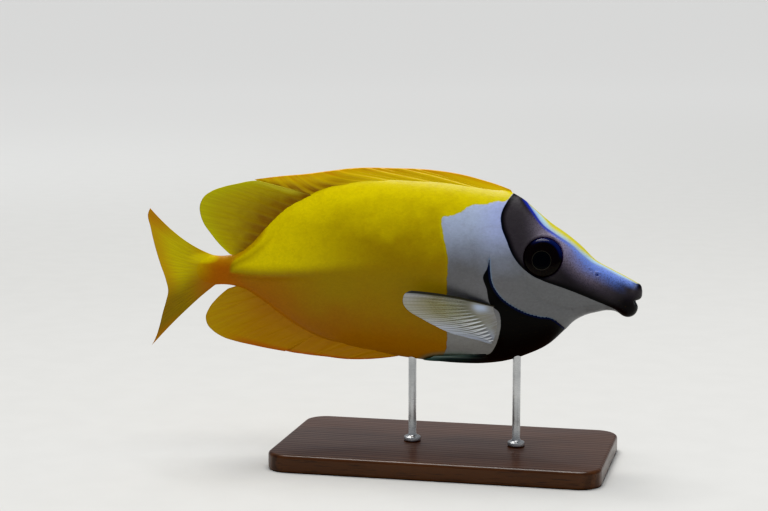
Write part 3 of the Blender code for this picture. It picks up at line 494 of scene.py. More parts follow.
def spinyFin(fin):
    # Folded spines: long low ridges laid back over one another, to the left and right by turns, with skin
    # between them.
    across, v = spread(341, 34)
    flat = straight(pathAt(fin["base"], across[0]), pathAt(fin["edge"], across[0]), v)
    place = (across - fin["oblique"] * (1 - across ** 3) * v) * (fin["spines"] - 1)
    nearest = np.clip(np.round(place), 0, None)
    offset = place - nearest
    width = 0.3 - 0.14 * v
    spine = bump(offset, width) * (1 - 0.35 * v)
    turn = np.where(nearest % 2 == 0, 1, -1)
    root = fin["rootHalf"] * (1 - stepped(fin["free"] - 0.14, fin["free"] + 0.04, across))
    ends = np.clip(np.minimum(across / 0.05, (1 - across) / 0.2), 0.3, 1)
    half = (0.3 + root * (1 - v ** 0.8) + 0.26 * spine) * ends
    middle = np.stack([flat[..., 0], 0.2 * turn * spine * (0.3 + 0.7 * v) * ends, flat[..., 1]], -1)
    return finSheet(fin["name"], middle, half, spine, v, place / (fin["spines"] - 1))


def forkedFin(fin):
    # Rays fan from the tail's root; the outer ones bow towards the middle.
    across, v = spread(301, 84)
    height = fin["top"] + (fin["bottom"] - fin["top"]) * across[0]
    root = np.stack([np.full_like(height, fin["rootX"]), 0 * height, height], -1)
    edge = pathAt(fin["edge"], across[0])
    tip = np.stack([edge[:, 0], 0 * height, edge[:, 1]], -1)
    bow = (root + tip) / 2
    bow[:, 2] += fin["sweep"][0] + (fin["sweep"][1] - fin["sweep"][0]) * across[0]
    middle = bowed(root, bow, tip, v)
    behind = np.maximum(fin["rootX"] - middle[..., 0], 0)
    shown = stepped(0.7, 1.5, behind / fin["fleshy"])
    field = rayField(across, v, fin["rays"]) * shown
    middle[..., 1] += 0.5 * np.sin(across * 5 + 0.6) * v ** 2
    outer = np.clip(1 - np.minimum(across, 1 - across) * 16, 0, 1)
    deep = np.sqrt(np.clip(1 - (2 * across - 1) ** 4, 0.02, 1))
    half = web["half"] + (fin["rootHalf"] - web["half"]) * np.exp(-((behind / fin["fleshy"]) ** 1.4)) * deep
    half = half + web["ray"] * field * (1 - 0.7 * v) + 0.3 * outer * (1 - v) * shown
    half *= 1 - 0.5 * stepped(0.93, 1, v)
    return finSheet(fin["name"], middle, half, np.maximum(field, outer), v, across)


def pairedFin(fin, side, word):
    # A paddle on the flank: a smooth fleshy root, then rays that leave it downwards and curve back, standing
    # off the body by the splay angle.
    across, v = spread(241, 90)
    root, edge = pathAt(fin["root"], across[0] ** 2.6), pathAt(fin["edge"], across[0])
    start = flankAt(root[:, 0], root[:, 1]) - 1.3
    length = np.linalg.norm(edge - root, axis=1)
    sag = curveAt(fin["sag"], across[0])
    nearer = (0.45 - 0.13 * stepped(0.2, 0.7, across[0]))[:, None]
    bow = root * (1 - nearer) + edge * nearer - np.stack([0 * sag, sag], -1)
    flat = bowed(root, bow, edge, v)
    begins = curveAt(fin["raysBegin"], across[0])[None, :]
    field = rayField(across, v, fin["rays"], begins, 0.16) * (0.4 + 0.6 * stepped(0.15, 0.6, across))
    y = start + math.sin(math.radians(fin["splay"])) * length * v ** 0.9 + 1.1 * v
    y = y + np.sin(across * math.pi) * v * (1 - v) * 2.4 + 0.14 * np.sin(across * 15 * math.pi) * v
    middle = np.stack([flat[..., 0], side * y, flat[..., 1]], -1)
    fleshy = 1 - stepped(0, 1, v / (begins + 0.2))
    lead = bump(across, 0.045)
    half = 0.12 + (fin["rootHalf"] - 0.12) * fleshy + 0.13 * field * (1 - 0.6 * v)
    half = half + 0.22 * lead * (1 - 0.8 * v)
    half *= 1 - 0.5 * stepped(0.93, 1, v)
    return finSheet(fin["name"] + "_" + word, middle, half, field, v, across, fleshy=fleshy)


def foldedFin(fin, side, word):
    # The pelvic fin's rays lie together along the belly, just off the skin.
    across, v = spread(81, 60)
    flat = straight(pathAt(fin["root"], across[0]), pathAt(fin["tips"], across[0]), v)
    onSkin, normal = flankPlace(flat[..., 0], flat[..., 1], side)
    field = rayField(across, v, fin["rays"])
    half = (0.3 + 0.25 * (1 - v) + web["ray"] * field) * (1 - 0.5 * stepped(0.85, 1, v)) + 0 * across
    lift = (-0.5 + stepped(0, 0.2, v) * (0.35 + 0.65 * stepped(0, 0.5, across)))[..., None]
    return finSheet(fin["name"] + "_" + word, onSkin + normal * lift, half, field, v, across)


def makeEye(side, word):
    # A shallow cap of a ball on the head's own slope, run on below the rim of its socket.
    at, axis = (found[0] for found in flankPlace(*(np.array([value]) for value in eyes["at"]), side))
    at = at + axis * (headRelief["brow"][0] - eyes["sunk"] - eyes["seat"])
    first = np.cross(axis, (0, 0, 1))
    first /= np.linalg.norm(first)
    second = np.cross(first, axis)
    share = np.linspace(0, 1, eyes["rings"])[:, None]
    turn = (np.arange(eyes["spokes"]) * 2 * math.pi / eyes["spokes"])[None, :]
    radius = (eyes["radius"] + eyes["overlap"]) * np.sin(share * math.pi * 0.5)
    height = eyes["bulge"] * np.cos(share * math.pi * 0.5) - eyes["edgeDrop"] * share ** 8
    outward = np.cos(turn)[..., None] * first + np.sin(turn)[..., None] * second
    points = gathered(at + radius[..., None] * outward + height[..., None] * axis)
    disc = gathered(np.stack([radius * np.cos(turn) * side, radius * np.sin(turn), height + 0 * turn], -1))
    faces = gridFaces(*points.shape[:2], True)
    return meshFrom("eye_" + word + "_dressed", inFrame(points.reshape(-1, 3)), faces,
                    {"disc": disc.reshape(-1, 3)})


stand = {
    "bevel": 1.4, "corner": 9, "rodRadius": 1.6, "rodSink": 1.6, "rodSpokes": 64, "footSink": 0.3,
    "underside": [(0.9, 0), (0.25, 0.25), (0, 0.9)],  # inset and height of the base's lower edge
    # radius and height of the rod's foot ring
    "foot": [(0, 0), (3.1, 0), (3.4, 0.3), (3.4, 1.5), (3.3, 1.75), (3.05, 1.9), (2.5, 2), (2.1, 2.25),
        (1.8, 2.6)],
    "rodHeights": (3.1, 10, 20),
}


def cornersOf(node):  # of a node's solid, in mm
    return (np.array(corner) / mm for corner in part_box(node))


def makeBase():
    # A slab with round corners: its outline is carried up through small insets that round both edges.
    low, high = cornersOf("stand_base")
    centre, size = (low + high) / 2, high - low
    quarter = np.radians(np.linspace(0, 90, 17))
    levels = stand["underside"] + [(0, h) for h in np.linspace(1.6, size[2] - 2.2, 6)]
    bevel, corner = stand["bevel"], stand["corner"]
    for t in np.radians(np.linspace(0, 90, 9)):
        levels.append((bevel * (1 - math.cos(t)), size[2] - bevel + bevel * math.sin(t)))
    rings = []
    for inset, level in levels:
        ring = []
        for k in range(4):
            turn = quarter + k * math.pi / 2
            cx = centre[0] + (size[0] / 2 - corner) * (1 if k in (0, 3) else -1)
            cy = centre[1] + (size[1] / 2 - corner) * (1 if k in (0, 1) else -1)
            ring.append(np.stack([cx + (corner - inset) * np.cos(turn), cy + (corner - inset) * np.sin(turn),
                                  np.full_like(turn, low[2] + level)], -1))
        rings.append(np.vstack(ring))
    rings = gathered(np.array(rings))
    faces = gridFaces(*rings.shape[:2], True)
    return meshFrom("stand_base_dressed", rings.reshape(-1, 3) * mm, faces, sharp=40)


def makeRod(word):
    # A turned profile: a stepped foot ring, then the plain rod up into the belly.
    low, high = cornersOf("stand_rod_" + word)
    cx, cy = (low[0] + high[0]) / 2, (low[1] + high[1]) / 2
    foot, top, r = low[2] - stand["footSink"], high[2] + stand["rodSink"], stand["rodRadius"]
    profile = [(width, foot + h) for width, h in stand["foot"]] + [(r, foot + h) for h in stand["rodHeights"]]
    profile = np.array(profile + [(r, top), (0, top)])
    turn = np.arange(stand["rodSpokes"]) * 2 * math.pi / stand["rodSpokes"]
    points = np.stack([cx + profile[:, :1] * np.cos(turn), cy + profile[:, :1] * np.sin(turn),
                       profile[:, 1:] + 0 * turn], -1)
    faces = gridFaces(len(profile), stand["rodSpokes"], True)
    return meshFrom("stand_rod_" + word + "_dressed", points.reshape(-1, 3) * mm, faces, sharp=35)


class Wire:  # a node's output that takes + - * with numbers and other wires
    def __init__(self, paint, socket):
        self.paint, self.socket = paint, socket

    def math(self, operation, *others):
        node = self.paint.tree.nodes.new("ShaderNodeMath")
        node.operation = operation
        for k, value in enumerate((self, *others)):
            self.paint.plug(node.inputs[k], value)
        return Wire(self.paint, node.outputs[0])

    def __add__(self, other):
        return self.math("ADD", other)

    def __sub__(self, other):
        return self.math("SUBTRACT", other)

    def __mul__(self, other):
        return self.math("MULTIPLY", other)

    def __rsub__(self, other):
        return self.paint.number(other).math("SUBTRACT", self)

    def __neg__(self):
        return self.math("MULTIPLY", -1)

    __radd__, __rmul__ = __add__, __mul__

    def over(self, low, high):  # 0 below low, 1 above high, smooth between
        return self.paint.node("ShaderNodeMapRange", {"interpolation_type": "SMOOTHSTEP"},
                               {"Value": self, "From Min": low, "From Max": high})

    def under(self, low, high):  # 1 below low, 0 above high, smooth between
        return 1 - self.over(low, high)

    def most(self, other):
        return self.math("MAXIMUM", other)


class Paint:  # one material and the nodes added to it
    def __init__(self, name, fixed):
        self.material = bpy.data.materials.new(name)
        self.material.use_nodes = True
        self.tree = self.material.node_tree
        self.shader = self.tree.nodes["Principled BSDF"]
        self.give(fixed)

    def plug(self, socket, value):
        if isinstance(value, Wire):
            self.tree.links.new(value.socket, socket)
        else:
            socket.default_value = value

    def node(self, kind, settings, sockets, out=0):
        node = self.tree.nodes.new(kind)
        for key, value in settings.items():
            setattr(node, key, value)
        for key, value in sockets.items():
            self.plug(node.inputs[key], value)
        return Wire(self, node.outputs[out])

    def number(self, value):
        wire = self.node("ShaderNodeValue", {}, {})
        wire.socket.default_value = value
        return wire

    def attribute(self, name, vector=False):
        return self.node("ShaderNodeAttribute", {"attribute_name": name}, {}, 1 if vector else 2)

    def ownPlace(self):  # the place on the object itself, in metres
        return self.node("ShaderNodeTexCoord", {}, {}, 3)

    def parts(self, vector):
        split = self.tree.nodes.new("ShaderNodeSeparateXYZ")
        self.plug(split.inputs[0], vector)
        return [Wire(self, socket) for socket in split.outputs]

    def joined(self, x, y):
        return self.node("ShaderNodeCombineXYZ", {}, {0: x, 1: y})

    def mix(self, factor, a, b, blend="MIX"):  # wires, screen colours 0-255 or names of the fish's colours
        node = self.tree.nodes.new("ShaderNodeMix")
        node.data_type, node.blend_type = "RGBA", blend
        self.plug(node.inputs[0], factor)
        for socket, colour in ((node.inputs[6], a), (node.inputs[7], b)):
            if not isinstance(colour, Wire):
                colour = (*tint(*fishColours.get(colour, colour)), 1)
            self.plug(socket, colour)
        return Wire(self, node.outputs[2])

    def layered(self, colour, *layers):  # lays other colours over one, each by its factor
        for factor, laid in layers:
            colour = self.mix(factor, colour, laid)
        return colour

    def scaled(self, vector, by):
        return self.node("ShaderNodeVectorMath", {"operation": "MULTIPLY"}, {0: vector, 1: by})

    def noise(self, vector, scale, detail=3, rough=0.5):
        return self.node("ShaderNodeTexNoise", {},
                         {"Vector": vector, "Scale": scale, "Detail": detail, "Roughness": rough})

    def cells(self, vector, scale, out=0):
        return self.node("ShaderNodeTexVoronoi", {}, {"Vector": vector, "Scale": scale}, out)

    def raised(self, height, distance, strength, under=None):
        sockets = {"Height": height, "Distance": distance, "Strength": strength}
        if under is not None:
            sockets["Normal"] = under
        return self.node("ShaderNodeBump", {}, sockets)

    def give(self, values):  # the shader's own inputs, constant or varying
        for key, value in values.items():
            self.plug(self.shader.inputs[key], value)

    def on(self, piece):
        piece.data.materials.clear()
        piece.data.materials.append(self.material)


def tint(r, g, b):  # screen colour 0-255 to linear
    return tuple(((c / 255) / 12.92 if c <= 10 else ((c / 255 + 0.055) / 1.055) ** 2.4) for c in (r, g, b))


# Some of these stand for painted light and shade: lemon, gold and amber, the nape, the white's mid grey,
# breast, cheek and lilac, the mask's sheen, pale, spot and line colours, the blaze's blue, the crease and the
# stalk colours.
fishColours = {
    "lemon": (232, 212, 4), "gold": (152, 122, 4), "amber": (152, 94, 4), "nape": (222, 206, 4),
    "white": (196, 210, 240), "shadedGrey": (120, 120, 122), "breast": (152, 152, 150),
    "cheek": (118, 119, 120), "mask": (74, 71, 74), "maskBlack": (12, 11, 13),
    "maskSheen": (150, 140, 160), "maskLine": (40, 58, 182), "maskPaleSheen": (126, 152, 232),
    "maskSpot": (104, 132, 214), "blaze": (186, 220, 224), "blazeYellow": (212, 202, 52),
    "chest": (8, 7, 8), "blueLine": (12, 24, 60), "gillGlint": (122, 154, 190), "stalk": (172, 92, 6),
    "stalkTopLit": (190, 128, 6), "crease": (164, 96, 6), "lime": (206, 208, 24), "tailShade": (150, 118, 4),
    "tailRoot": (206, 188, 6), "lilac": (182, 194, 250), "blazeBlue": (140, 168, 246),
    "bandShade": (128, 144, 136),
}


def tailTones(paint, place, colour, bare=1):
    # Over the stalk and the tail fin's root alike, so that they meet in one colour: orange-brown painted
    # shade where the stalk turns from the light, lighter on its top, fading out along the fin, under a lemon
    # streak. It shows only where bare is 1.
    x, z = paint.parts(place)[::2]
    shared = paint.mix(z.over(69, 77), "tailShade", "tailRoot")
    flesh = paint.mix(z.over(75.5, 80.5), "stalk", "stalkTopLit")
    u, v = (x + 78.2) * 0.13, (z - 79.9) * 0.36
    return paint.layered(
        colour, (x.over(-90, -80) * x.under(-75, -71), shared), (x.over(-86, -73) * bare * 0.94, flesh),
        ((u * u + v * v).under(0, 1) * 0.9, "lemon"))


def skinPaint():
    paint = Paint("fish_skin_paint", {"Specular IOR Level": 0.28, "Coat Roughness": 0.2, "Coat IOR": 1.36})
    place = paint.attribute("place", True)
    x, y, z = paint.parts(place)
    mask, chest, yellow = paint.parts(paint.attribute("marksA", True))
    gill, blaze, rise = paint.parts(paint.attribute("marksB", True))
    above = paint.attribute("above")
    broad = paint.noise(place, 0.07)
    blotch = paint.noise(place, 0.3, 4, 0.6)
    fine = paint.noise(place, 1.6, 2)
    ragged = (paint.noise(place, 0.42, 3, 0.65) - 0.5) * 2.6 + (fine - 0.5) * 0.5
    # small round-edged scales, a little longer than high, each with its own tone
    scaleSpace = paint.scaled(place, (0.9, 1, 1.15))
    scales = paint.cells(scaleSpace, 1.3)
    scaleTone = paint.node("ShaderNodeSeparateColor", {}, {0: paint.cells(scaleSpace, 1.3, 1)})
    # yellow flank, its light and shade painted in: lemon above where the top light falls and on the lit rear
    # shoulder, gold in the middle, amber below, a little duller on the nape, and darker still in painted
    # shade under the rear crease
    high = (rise + (broad - 0.5) * 0.3).over(0.56, 0.98)
    flank = paint.mix(high.most((-x).over(-6, 52) * above.over(-0.5, 5) * 0.9), "gold", "lemon")
    flank = paint.layered(
        flank, ((1 - rise + (broad - 0.5) * 0.25).over(0.56, 0.98), "amber"),
        (x.over(14, 44) * rise.over(0.82, 1) * 0.6, "nape"),
        ((-x).over(26, 52) * (above + ragged * 0.5).under(-1.6, 0.8) * 0.6, "crease"))
    flank = tailTones(paint, place, flank, above.under(-0.9, 0.5) * x.under(-70, -59))
    flank = paint.mix(blotch.over(0.45, 0.75) * 0.12, flank, "amber")
    # white breast with painted light and shade: bluish white above where the top light falls, darker grey at
    # mid height, lighter again low on the breast, painted lilac highlights near the mask, and a greyer cheek
    # that is partly painted shade; random grey blotches over it
    pale = paint.layered(
        paint.mix((rise + (broad - 0.5) * 0.2).over(0.5, 0.9), "shadedGrey", "white"),
        ((1 - rise).over(0.6, 0.88) * x.under(44, 52), "breast"),
        (x.over(32, 45) * rise.over(0.6, 0.86) * 0.7, "lilac"), (x.over(42, 60) * 0.8, "cheek"),
        (blotch.over(0.45, 0.75) * 0.14, "shadedGrey"))
    # dark mask, blacker away from the stripe and on the lips, with painted reflection of the top light over
    # its own speckle: a lilac sheen and blue spots that fade down the snout, and a pale and a blue line along
    # the stripe
    speckle = paint.cells(place, 1.7).over(0.15, 0.6)
    sheenShare = (blaze + ragged * 0.4).under(0.4, 10.5) * x.over(52, 68) * x.under(78, 92)
    sheenSpots = (blaze + ragged * 0.5).under(0.6, 6.4) * x.over(66, 80) * x.under(88, 95)
    paleSheen = (blaze + ragged * 0.2).under(0.2, 1.5 + x.over(68, 80) * 1.3)
    paleSheen = paleSheen * x.over(58, 68) * x.under(95, 98.5)
    dark = paint.layered(
        paint.mix(mask.over(0.2, 2.6), "maskBlack", "mask"),
        (blaze.over(4, 15) * x.over(58, 74) * 0.85, "maskBlack"),
        (sheenShare * (0.5 + speckle * 0.5), "maskSheen"), (sheenSpots * (0.36 + speckle * 0.6), "maskSpot"),
        (paleSheen * (0.6 + speckle * 0.35), "maskPaleSheen"),
        (blaze.under(0.1, 1.3) * x.under(62, 76) * 0.9, "maskLine"),
        (x.over(87, 94) * z.under(66, 72) * 0.85, "maskBlack"))
    # the pale stripe along the forehead, yellower on the midline, bluish next to the mask as a painted
    # reflection
    forehead = mask.under(-0.35, 0.25) * rise.over(0.8, 0.84) * x.over(50, 53)
    fromMiddle = y.math("ABSOLUTE") * (1 + x.over(76, 88) + x.under(56, 64) * 1.6)
    fromMiddle = fromMiddle - 1.1 * x.over(59, 66) * x.under(74, 82)
    stripe = paint.mix(blaze.under(0.1, 1.2) * 0.6, "blaze", "blazeBlue")
    stripe = paint.mix((fromMiddle + ragged * 0.2).over(0.4, 3.2), "blazeYellow", stripe)
    # one over another: flank, black breast (softer at its rear end, edged in blue along the gill cover),
    # mask and stripe
    edge = yellow + ragged * 0.5
    soft = x.under(29, 38) * z.under(46, 52)
    glint = gill.under(0.1, 0.9) * chest.under(-0.3, 0) * x.under(64, 68)
    colour = paint.layered(
        pale, (edge.over(-0.3, 0.3), flank),
        (edge.over(-0.5, 0.2) * edge.under(0.3, 1.5) * rise.over(0.4, 0.8) * 0.25, "lime"),
        (soft * chest.over(-2.4, 0.2) * 0.6, "bandShade"),
        ((chest + ragged * 0.12).over(-0.2 - soft * 0.7, 0.25 + soft * 0.9), "chest"),
        (gill.under(0.3, 1.1) * chest.over(-0.2, 0.1) * 0.8, "blueLine"), (glint * 0.55, "gillGlint"),
        ((mask + ragged * 0.1).over(-0.18, 0.22), dark), (forehead, stripe))
    tone = 0.95 + scaleTone * 0.09
    tone = paint.node("ShaderNodeCombineColor", {}, {0: tone, 1: tone, 2: tone})
    black = mask.over(-0.2, 0.2).most(chest.over(-0.2, 0.2))
    # relief: scales, a finer grain and a broad unevenness
    normal = paint.raised(1 - scales, 0.00008, 0.35)
    normal = paint.raised(fine, 0.00004, 0.3, normal)
    paint.give({
        "Base Color": paint.mix(1, colour, tone, "MULTIPLY"),
        "Roughness": 0.36 + (blotch - 0.5) * 0.14 + black * 0.06 + x.under(-74, -58) * 0.24,
        "Normal": paint.raised(blotch, 0.0003, 0.25, normal),
        "Coat Weight": (0.2 + (broad - 0.5) * 0.1) * (1 - black * 0.6) * x.over(-78, -56),
        "Metallic": yellow.under(-0.2, 0.2) * (1 - black) * (1 - forehead) * 0.2,
    })
    return paint


def lobeTones(paint, place, colour, across, reach):
    # The tail fin: a darker lower lobe, partly painted shade, orange tips, and the stalk's painted shade over
    # its root.
    tips = across.under(0, 0.16).most(across.over(0.84, 1)) * reach.over(0.45, 0.95)
    colour = paint.layered(colour, (across.over(0.45, 0.72) * 0.9, (122, 90, 4)),
                           (tips * 0.75, (196, 108, 8)))
    return tailTones(paint, place, colour)


def bandTones(paint, place, colour, across, reach):
    # The spiny band: yellow like the back it stands on, orange streaks above, brown shade at its rear root.
    behind = -paint.parts(place)[0]
    streaks = paint.noise(paint.joined(across * 26, reach * 0.8), 1, 2)
    border = behind.over(36, 42) * reach.under(0.05, 0.3) * behind.under(50, 56)
    return paint.layered(colour, (streaks.over(0.46, 0.66) * reach.over(0.4, 0.9) * 0.5, (216, 126, 6)),
                         (behind.over(6, 28) * reach.under(0.2, 0.9) * 0.92, (134, 74, 6)),
                         (border * 0.8, (214, 214, 70)))


def borderTones(paint, place, colour, across, reach):
    # The soft dorsal fin: a pale lime streak where the spiny band ends on it.
    return paint.mix(across.under(0.03, 0.12) * reach.over(0.1, 0.4) * 0.65, colour, (222, 214, 70))


def marginTones(paint, place, colour, across, reach):
    # The anal fins: yellower towards the rear tip, a reddish line along the lower edge.
    behind = -paint.parts(place)[0]
    return paint.layered(colour, (behind.over(52, 76) * 0.7, (190, 156, 6)),
                         (reach.over(0.8, 0.97) * behind.under(58, 72) * 0.8, (184, 80, 8)))


def foldTones(paint, place, colour, across, reach):
    # The pelvic fins: grey-green where their upper edge lies against the belly, most at the rear.
    return paint.mix(across.under(0.05, 0.55) * reach.over(0.1, 0.7) * 0.85, colour, (172, 188, 180))


def clearTones(paint, colour, across, reach, ray, clear):
    # The pectoral fins: whitish and thin, darker along the leading edge, a yellow tint in the upper middle,
    # painted bluish highlights on the fleshy root, and brighter rays in the lower middle painted as lit. It
    # gives the colour and how solid the fin is.
    fleshy = paint.attribute("fleshy")
    tinge = across.over(0.06, 0.16) * across.under(0.3, 0.55) * reach.over(0.3, 0.6)
    rootHighlight = across.over(0.05, 0.16) * across.under(0.2, 0.42)
    rootHighlight = rootHighlight * fleshy.over(0.3, 0.6) * fleshy.under(0.7, 0.95)
    lit = ray.over(0.2, 0.8) * across.over(0.3, 0.6) * reach.under(0.5, 0.8)
    colour = paint.layered(
        colour, (tinge * 0.32, (176, 172, 100)), (rootHighlight * 0.75, (200, 216, 242)),
        (across.over(0.5, 0.9) * fleshy.under(0.3, 0.8) * 0.5, (196, 208, 236)),
        (lit * 0.7, (246, 248, 246)), (across.under(0.035, 0.07) * 0.95, (30, 27, 18)))
    solid = fleshy.over(0.1, 0.5).most(ray.over(0.05, 0.6)).most(across.under(0.03, 0.07))
    return colour, 1 - clear + clear * solid


def finPaint(name, root, middle, edge, rayColour, rayShare=0.3, clear=0, tones=None, rootReach=0.5):
    # Membrane colours from the root to the edge, rays in their own colour, fine streaks along them.
    paint = Paint(name, {"Specular IOR Level": 0.36, "Coat Roughness": 0.2, "Coat IOR": 1.4})
    place = paint.attribute("place", True)
    ray, reach, across = paint.attribute("ray"), paint.attribute("reach"), paint.attribute("across")
    streak = paint.noise(paint.joined(across * 90, reach * 3), 1, 3, 0.6)
    blotch = paint.noise(place, 0.25, 3, 0.6)
    colour = paint.mix((reach + (blotch - 0.5) * 0.3).over(0.04, rootReach), root, middle)
    colour = paint.mix((reach + (streak - 0.5) * 0.2).over(0.66, 1), colour, edge)
    if tones:
        colour = tones(paint, place, colour, across, reach)
    streaks = (streak.over(0.42, 0.72) * 0.22, rayColour)
    colour = paint.layered(colour, (ray.over(0.1, 0.85) * rayShare, rayColour), streaks)
    normal = paint.raised(streak, 0.0001, 0.45)
    normal = paint.raised(paint.noise(place, 2.2, 2), 0.00004, 0.4, normal)
    if clear:
        colour, solid = clearTones(paint, colour, across, reach, ray, clear)
        paint.give({"Alpha": solid})
    paint.give({"Base Color": colour, "Roughness": 0.38 + streak * 0.14, "Normal": normal,
                "Coat Weight": 0.16 + blotch * 0.16})
    return paint


def eyePaint():
    # Rings by distance from the middle: black pupil, a thin pale ring, a dark iris with a painted blue
    # reflection at its upper front.
    paint = Paint("eye_paint", {"Specular IOR Level": 0.15, "Coat Roughness": 0.02, "Coat IOR": 1.3})
    u, v = paint.parts(paint.attribute("disc", True))[:2]
    rim = (u * u + v * v).math("SQRT")
    pu, pv = u - eyes["pupilOffset"][0], v - eyes["pupilOffset"][1]
    radius = (pu * pu + pv * pv).math("SQRT")
    spokes = paint.noise(paint.joined(pv.math("ARCTAN2", pu) * 9, radius * 0.35), 1, 4, 0.7)
    iris = paint.mix(spokes.over(0.45, 0.75) * 0.5, (14, 11, 11), (34, 27, 24))
    blue = (u * 0.5 + v).over(2, 6.5) * rim.over(5.6, 6.6)
    iris = paint.mix(blue * 0.7, iris, (24, 33, 84))
    ring = radius.over(3.35, 3.55) * radius.under(3.65, 3.95)
    iris = paint.mix(ring * 0.6, iris, (78, 76, 74))
    colour = paint.mix(radius.over(3.35, 3.65), (2, 2, 3), iris)
    paint.give({"Base Color": colour, "Roughness": 0.2 + spokes * 0.12, "Coat Weight": 0.5 + rim * 0.01})
    return paint


def stretched(paint, place, scale):
    return paint.node("ShaderNodeMapping", {}, {"Vector": place, "Scale": scale})


def woodPaint():
    # Dark hardwood: stretched growth rings with pores along the grain, under satin lacquer.
    paint = Paint("base_wood_paint", {"Coat Weight": 0.35, "Coat Roughness": 0.18, "IOR": 1.48})
    place = paint.ownPlace()
    warp = paint.noise(stretched(paint, place, (14, 40, 40)), 1, 4)
    band = paint.node("ShaderNodeTexWave", {"bands_direction": "Y"},
                      {"Vector": stretched(paint, place, (9, 95, 95)), "Scale": 1.1, "Distortion": 5,
                       "Detail": 3, "Detail Scale": 1.4})
    pores = paint.noise(stretched(paint, place, (90, 1900, 1900)), 1, 2)
    colour = paint.mix(band.over(0.1, 0.9), (74, 44, 26), (50, 28, 16))
    colour = paint.layered(colour, (warp.over(0.35, 0.7) * 0.5, (92, 58, 36)),
                           (pores.over(0.56, 0.7) * 0.55, (28, 15, 9)))
    paint.give({"Base Color": colour, "Roughness": 0.36 + band * 0.1,
                "Normal": paint.raised(pores, 0.00012, 0.35)})
    return paint


def steelPaint():
    # Drawn steel: fine scratches round the rod, with a little variation in gloss.
    paint = Paint("rod_steel_paint", {"Metallic": 1})
    place = paint.ownPlace()
    lines = paint.noise(stretched(paint, place, (400, 400, 9000)), 1)
    colour = paint.mix(paint.noise(place, 120).over(0.3, 0.7), (176, 178, 180), (202, 203, 204))
    paint.give({"Base Color": colour, "Roughness": 0.2 + lines * 0.18,
                "Normal": paint.raised(lines, 0.00002, 0.4)})
    return paint


def makeFloor():
    points = np.array([(-90, -90, 0), (90, -90, 0), (90, 90, 0), (-90, 90, 0)], dtype=float)
    floor = meshFrom("floor", points, [[0, 1, 2, 3]])
    paint = Paint("floor_paint", {"Specular IOR Level": 0.1})
    place = paint.ownPlace()
    mottle = paint.noise(place, 60)
    x, y = paint.parts(place)[:2]
    away = (x * x + y * y).math("SQRT")
    colour = paint.mix(mottle.over(0.3, 0.7), (208, 208, 206), (210, 210, 208))
    colour = paint.mix(away.over(0.2, 3), colour, (232, 232, 231))
    paint.give({"Base Color": colour, "Roughness": 0.85 + away.under(1, 4) * mottle * 0.1})
    paint.on(floor)


camera = {
    "azimuth": 13, "elevation": 8, "distance": 750, "target": (-3.4, 0, 82),  # degrees and mm
    "lens": 87.9, "sensor": 36, "clip": (0.01, 300),
}
lampsAim = (0, 0, 0.08)
lamps = [
    # name, place in m, width in m, watts, colour
    ("top", (0.10, -0.10, 1.30), 0.9, 9, (1, 0.99, 0.97)),
    ("front", (0.85, -1.10, 0.80), 0.5, 3, (1, 0.98, 0.95)),
    ("rear", (-0.60, 0.95, 0.90), 0.6, 2, (0.95, 0.98, 1)),
]
sun = {"direction": (0.24, -0.34, 0.95), "strength": 2, "degrees": 30, "colour": (1, 0.985, 0.96)}
sky = {"colour": (0.86, 0.89, 0.93, 1), "strength": 0.38}


def aimed(name, light, place, at):  # a lamp at a place, its beam towards a point
    lamp = bpy.data.objects.new(name, light)
    lamp.location = place
    x, y, z = np.array(at) - np.array(place)
    lamp.rotation_euler = (math.acos(-z / math.sqrt(x * x + y * y + z * z)), 0, math.atan2(x, -y))
    bpy.context.scene.collection.objects.link(lamp)


def setStage():
    a, e = math.radians(camera["azimuth"]), math.radians(camera["elevation"])
    back = np.array([math.sin(a) * math.cos(e), -math.cos(a) * math.cos(e), math.sin(e)])
    target = (np.array(camera["target"]) + (shiftX, 0, 0)) * mm
    lens = bpy.data.cameras.new("camera")
    lens.lens, lens.sensor_width = camera["lens"], camera["sensor"]
    lens.clip_start, lens.clip_end = camera["clip"]
    eye = bpy.data.objects.new("camera", lens)
    eye.location = target + back * camera["distance"] * mm
    eye.rotation_euler = (math.radians(90) - e, 0, a)
    bpy.context.scene.collection.objects.link(eye)
    bpy.context.scene.camera = eye
    for name, place, width, watts, colour in lamps:
        light = bpy.data.lights.new(name, "AREA")
        light.shape, light.size, light.energy, light.color = "DISK", width, watts, colour
        aimed(name, light, place, lampsAim)
    key = bpy.data.lights.new("key", "SUN")
    key.energy, key.angle, key.color = sun["strength"], math.radians(sun["degrees"]), sun["colour"]
    aimed("key", key, sun["direction"], (0, 0, 0))
    world = bpy.data.worlds.new("studio")
    world.use_nodes = True
    backdrop = world.node_tree.nodes["Background"]
    backdrop.inputs["Color"].default_value = sky["colour"]
    backdrop.inputs["Strength"].default_value = sky["strength"]
    bpy.context.scene.world = world
    bpy.context.scene.view_settings.view_transform = "Khronos PBR Neutral"


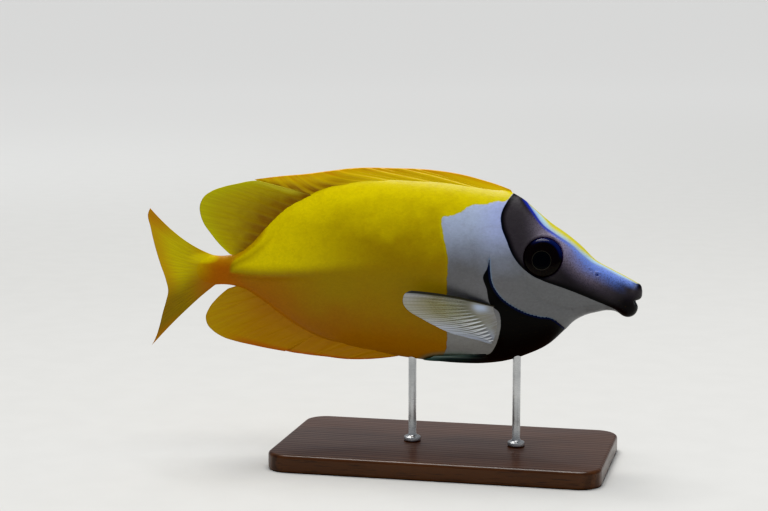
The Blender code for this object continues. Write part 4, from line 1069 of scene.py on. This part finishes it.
def dress():
    skin = makeSkin()
    skinPaint().on(skin)
    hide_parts("head", "lower_jaw", "gill_cover_right", "gill_cover_left", "trunk_front",
                "trunk_rear", "tail_stalk")
    print("skin done")
    # root, middle, edge and ray colours of each fin; the soft dorsal's dark brown root and the amber of the
    # anal fins are partly painted shade, like the belly's
    dorsalPaint = finPaint("soft_dorsal_paint", (130, 84, 4), (188, 168, 4), (200, 194, 8), (164, 136, 6),
                           rootReach=0.75, tones=borderTones)
    analPaint = finPaint("soft_anal_paint", (172, 112, 4), (182, 126, 4), (190, 136, 6), (174, 118, 6),
                         tones=marginTones)
    tailPaint = finPaint("tail_paint", (196, 166, 6), (214, 198, 6), (208, 162, 8), (178, 148, 6),
                         tones=lobeTones)
    bandPaint = finPaint("spiny_dorsal_paint", (236, 212, 4), (236, 198, 6), (230, 174, 8), (240, 208, 14),
                         0.35, tones=bandTones)
    lowBandPaint = finPaint("spiny_anal_paint", (174, 112, 4), (180, 120, 4), (186, 128, 8), (190, 134, 8),
                            tones=marginTones)
    clearPaint = finPaint("pectoral_paint", (142, 140, 136), (150, 148, 126), (194, 198, 206),
                          (214, 222, 236), 0.75, 0.5)
    darkPaint = finPaint("pelvic_paint", (12, 11, 12), (40, 48, 48), (92, 112, 108), (24, 28, 30),
                         tones=foldTones)
    pieces = [
        (uprightFin(dorsalSoft), dorsalPaint, "dorsal_fin_soft", "fin"),
        (uprightFin(analSoft), analPaint, "anal_fin_soft", "fin"),
        (forkedFin(tailFin), tailPaint, "tail_fin", "fin"),
        (spinyFin(dorsalSpiny), bandPaint, "dorsal_fin_spiny", "spiny_fin"),
        (spinyFin(analSpiny), lowBandPaint, "anal_fin_spiny", "spiny_fin"),
    ]
    for side, word in sides:
        pieces.append((pairedFin(pectoral, side, word), clearPaint, "pectoral_fin_" + word, "pectoral_fin"))
        pieces.append((foldedFin(pelvic, side, word), darkPaint, "pelvic_fin_" + word, "pelvic_fin"))
    print("fins done")
    wet, steel = eyePaint(), steelPaint()
    pieces += [(makeEye(side, word), wet, "eye_" + word, "eye") for side, word in sides]
    pieces.append((makeBase(), woodPaint(), "stand_base", "base"))
    pieces += [(makeRod(word), steel, "stand_rod_" + word, "rod") for word in ("front", "rear")]
    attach(skin, "root")
    for piece, paint, node, slot in pieces:
        paint.on(piece)
        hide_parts(node)
        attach(piece, "root")
    print("eyes and stand done")


setStage()
makeFloor()
dress()
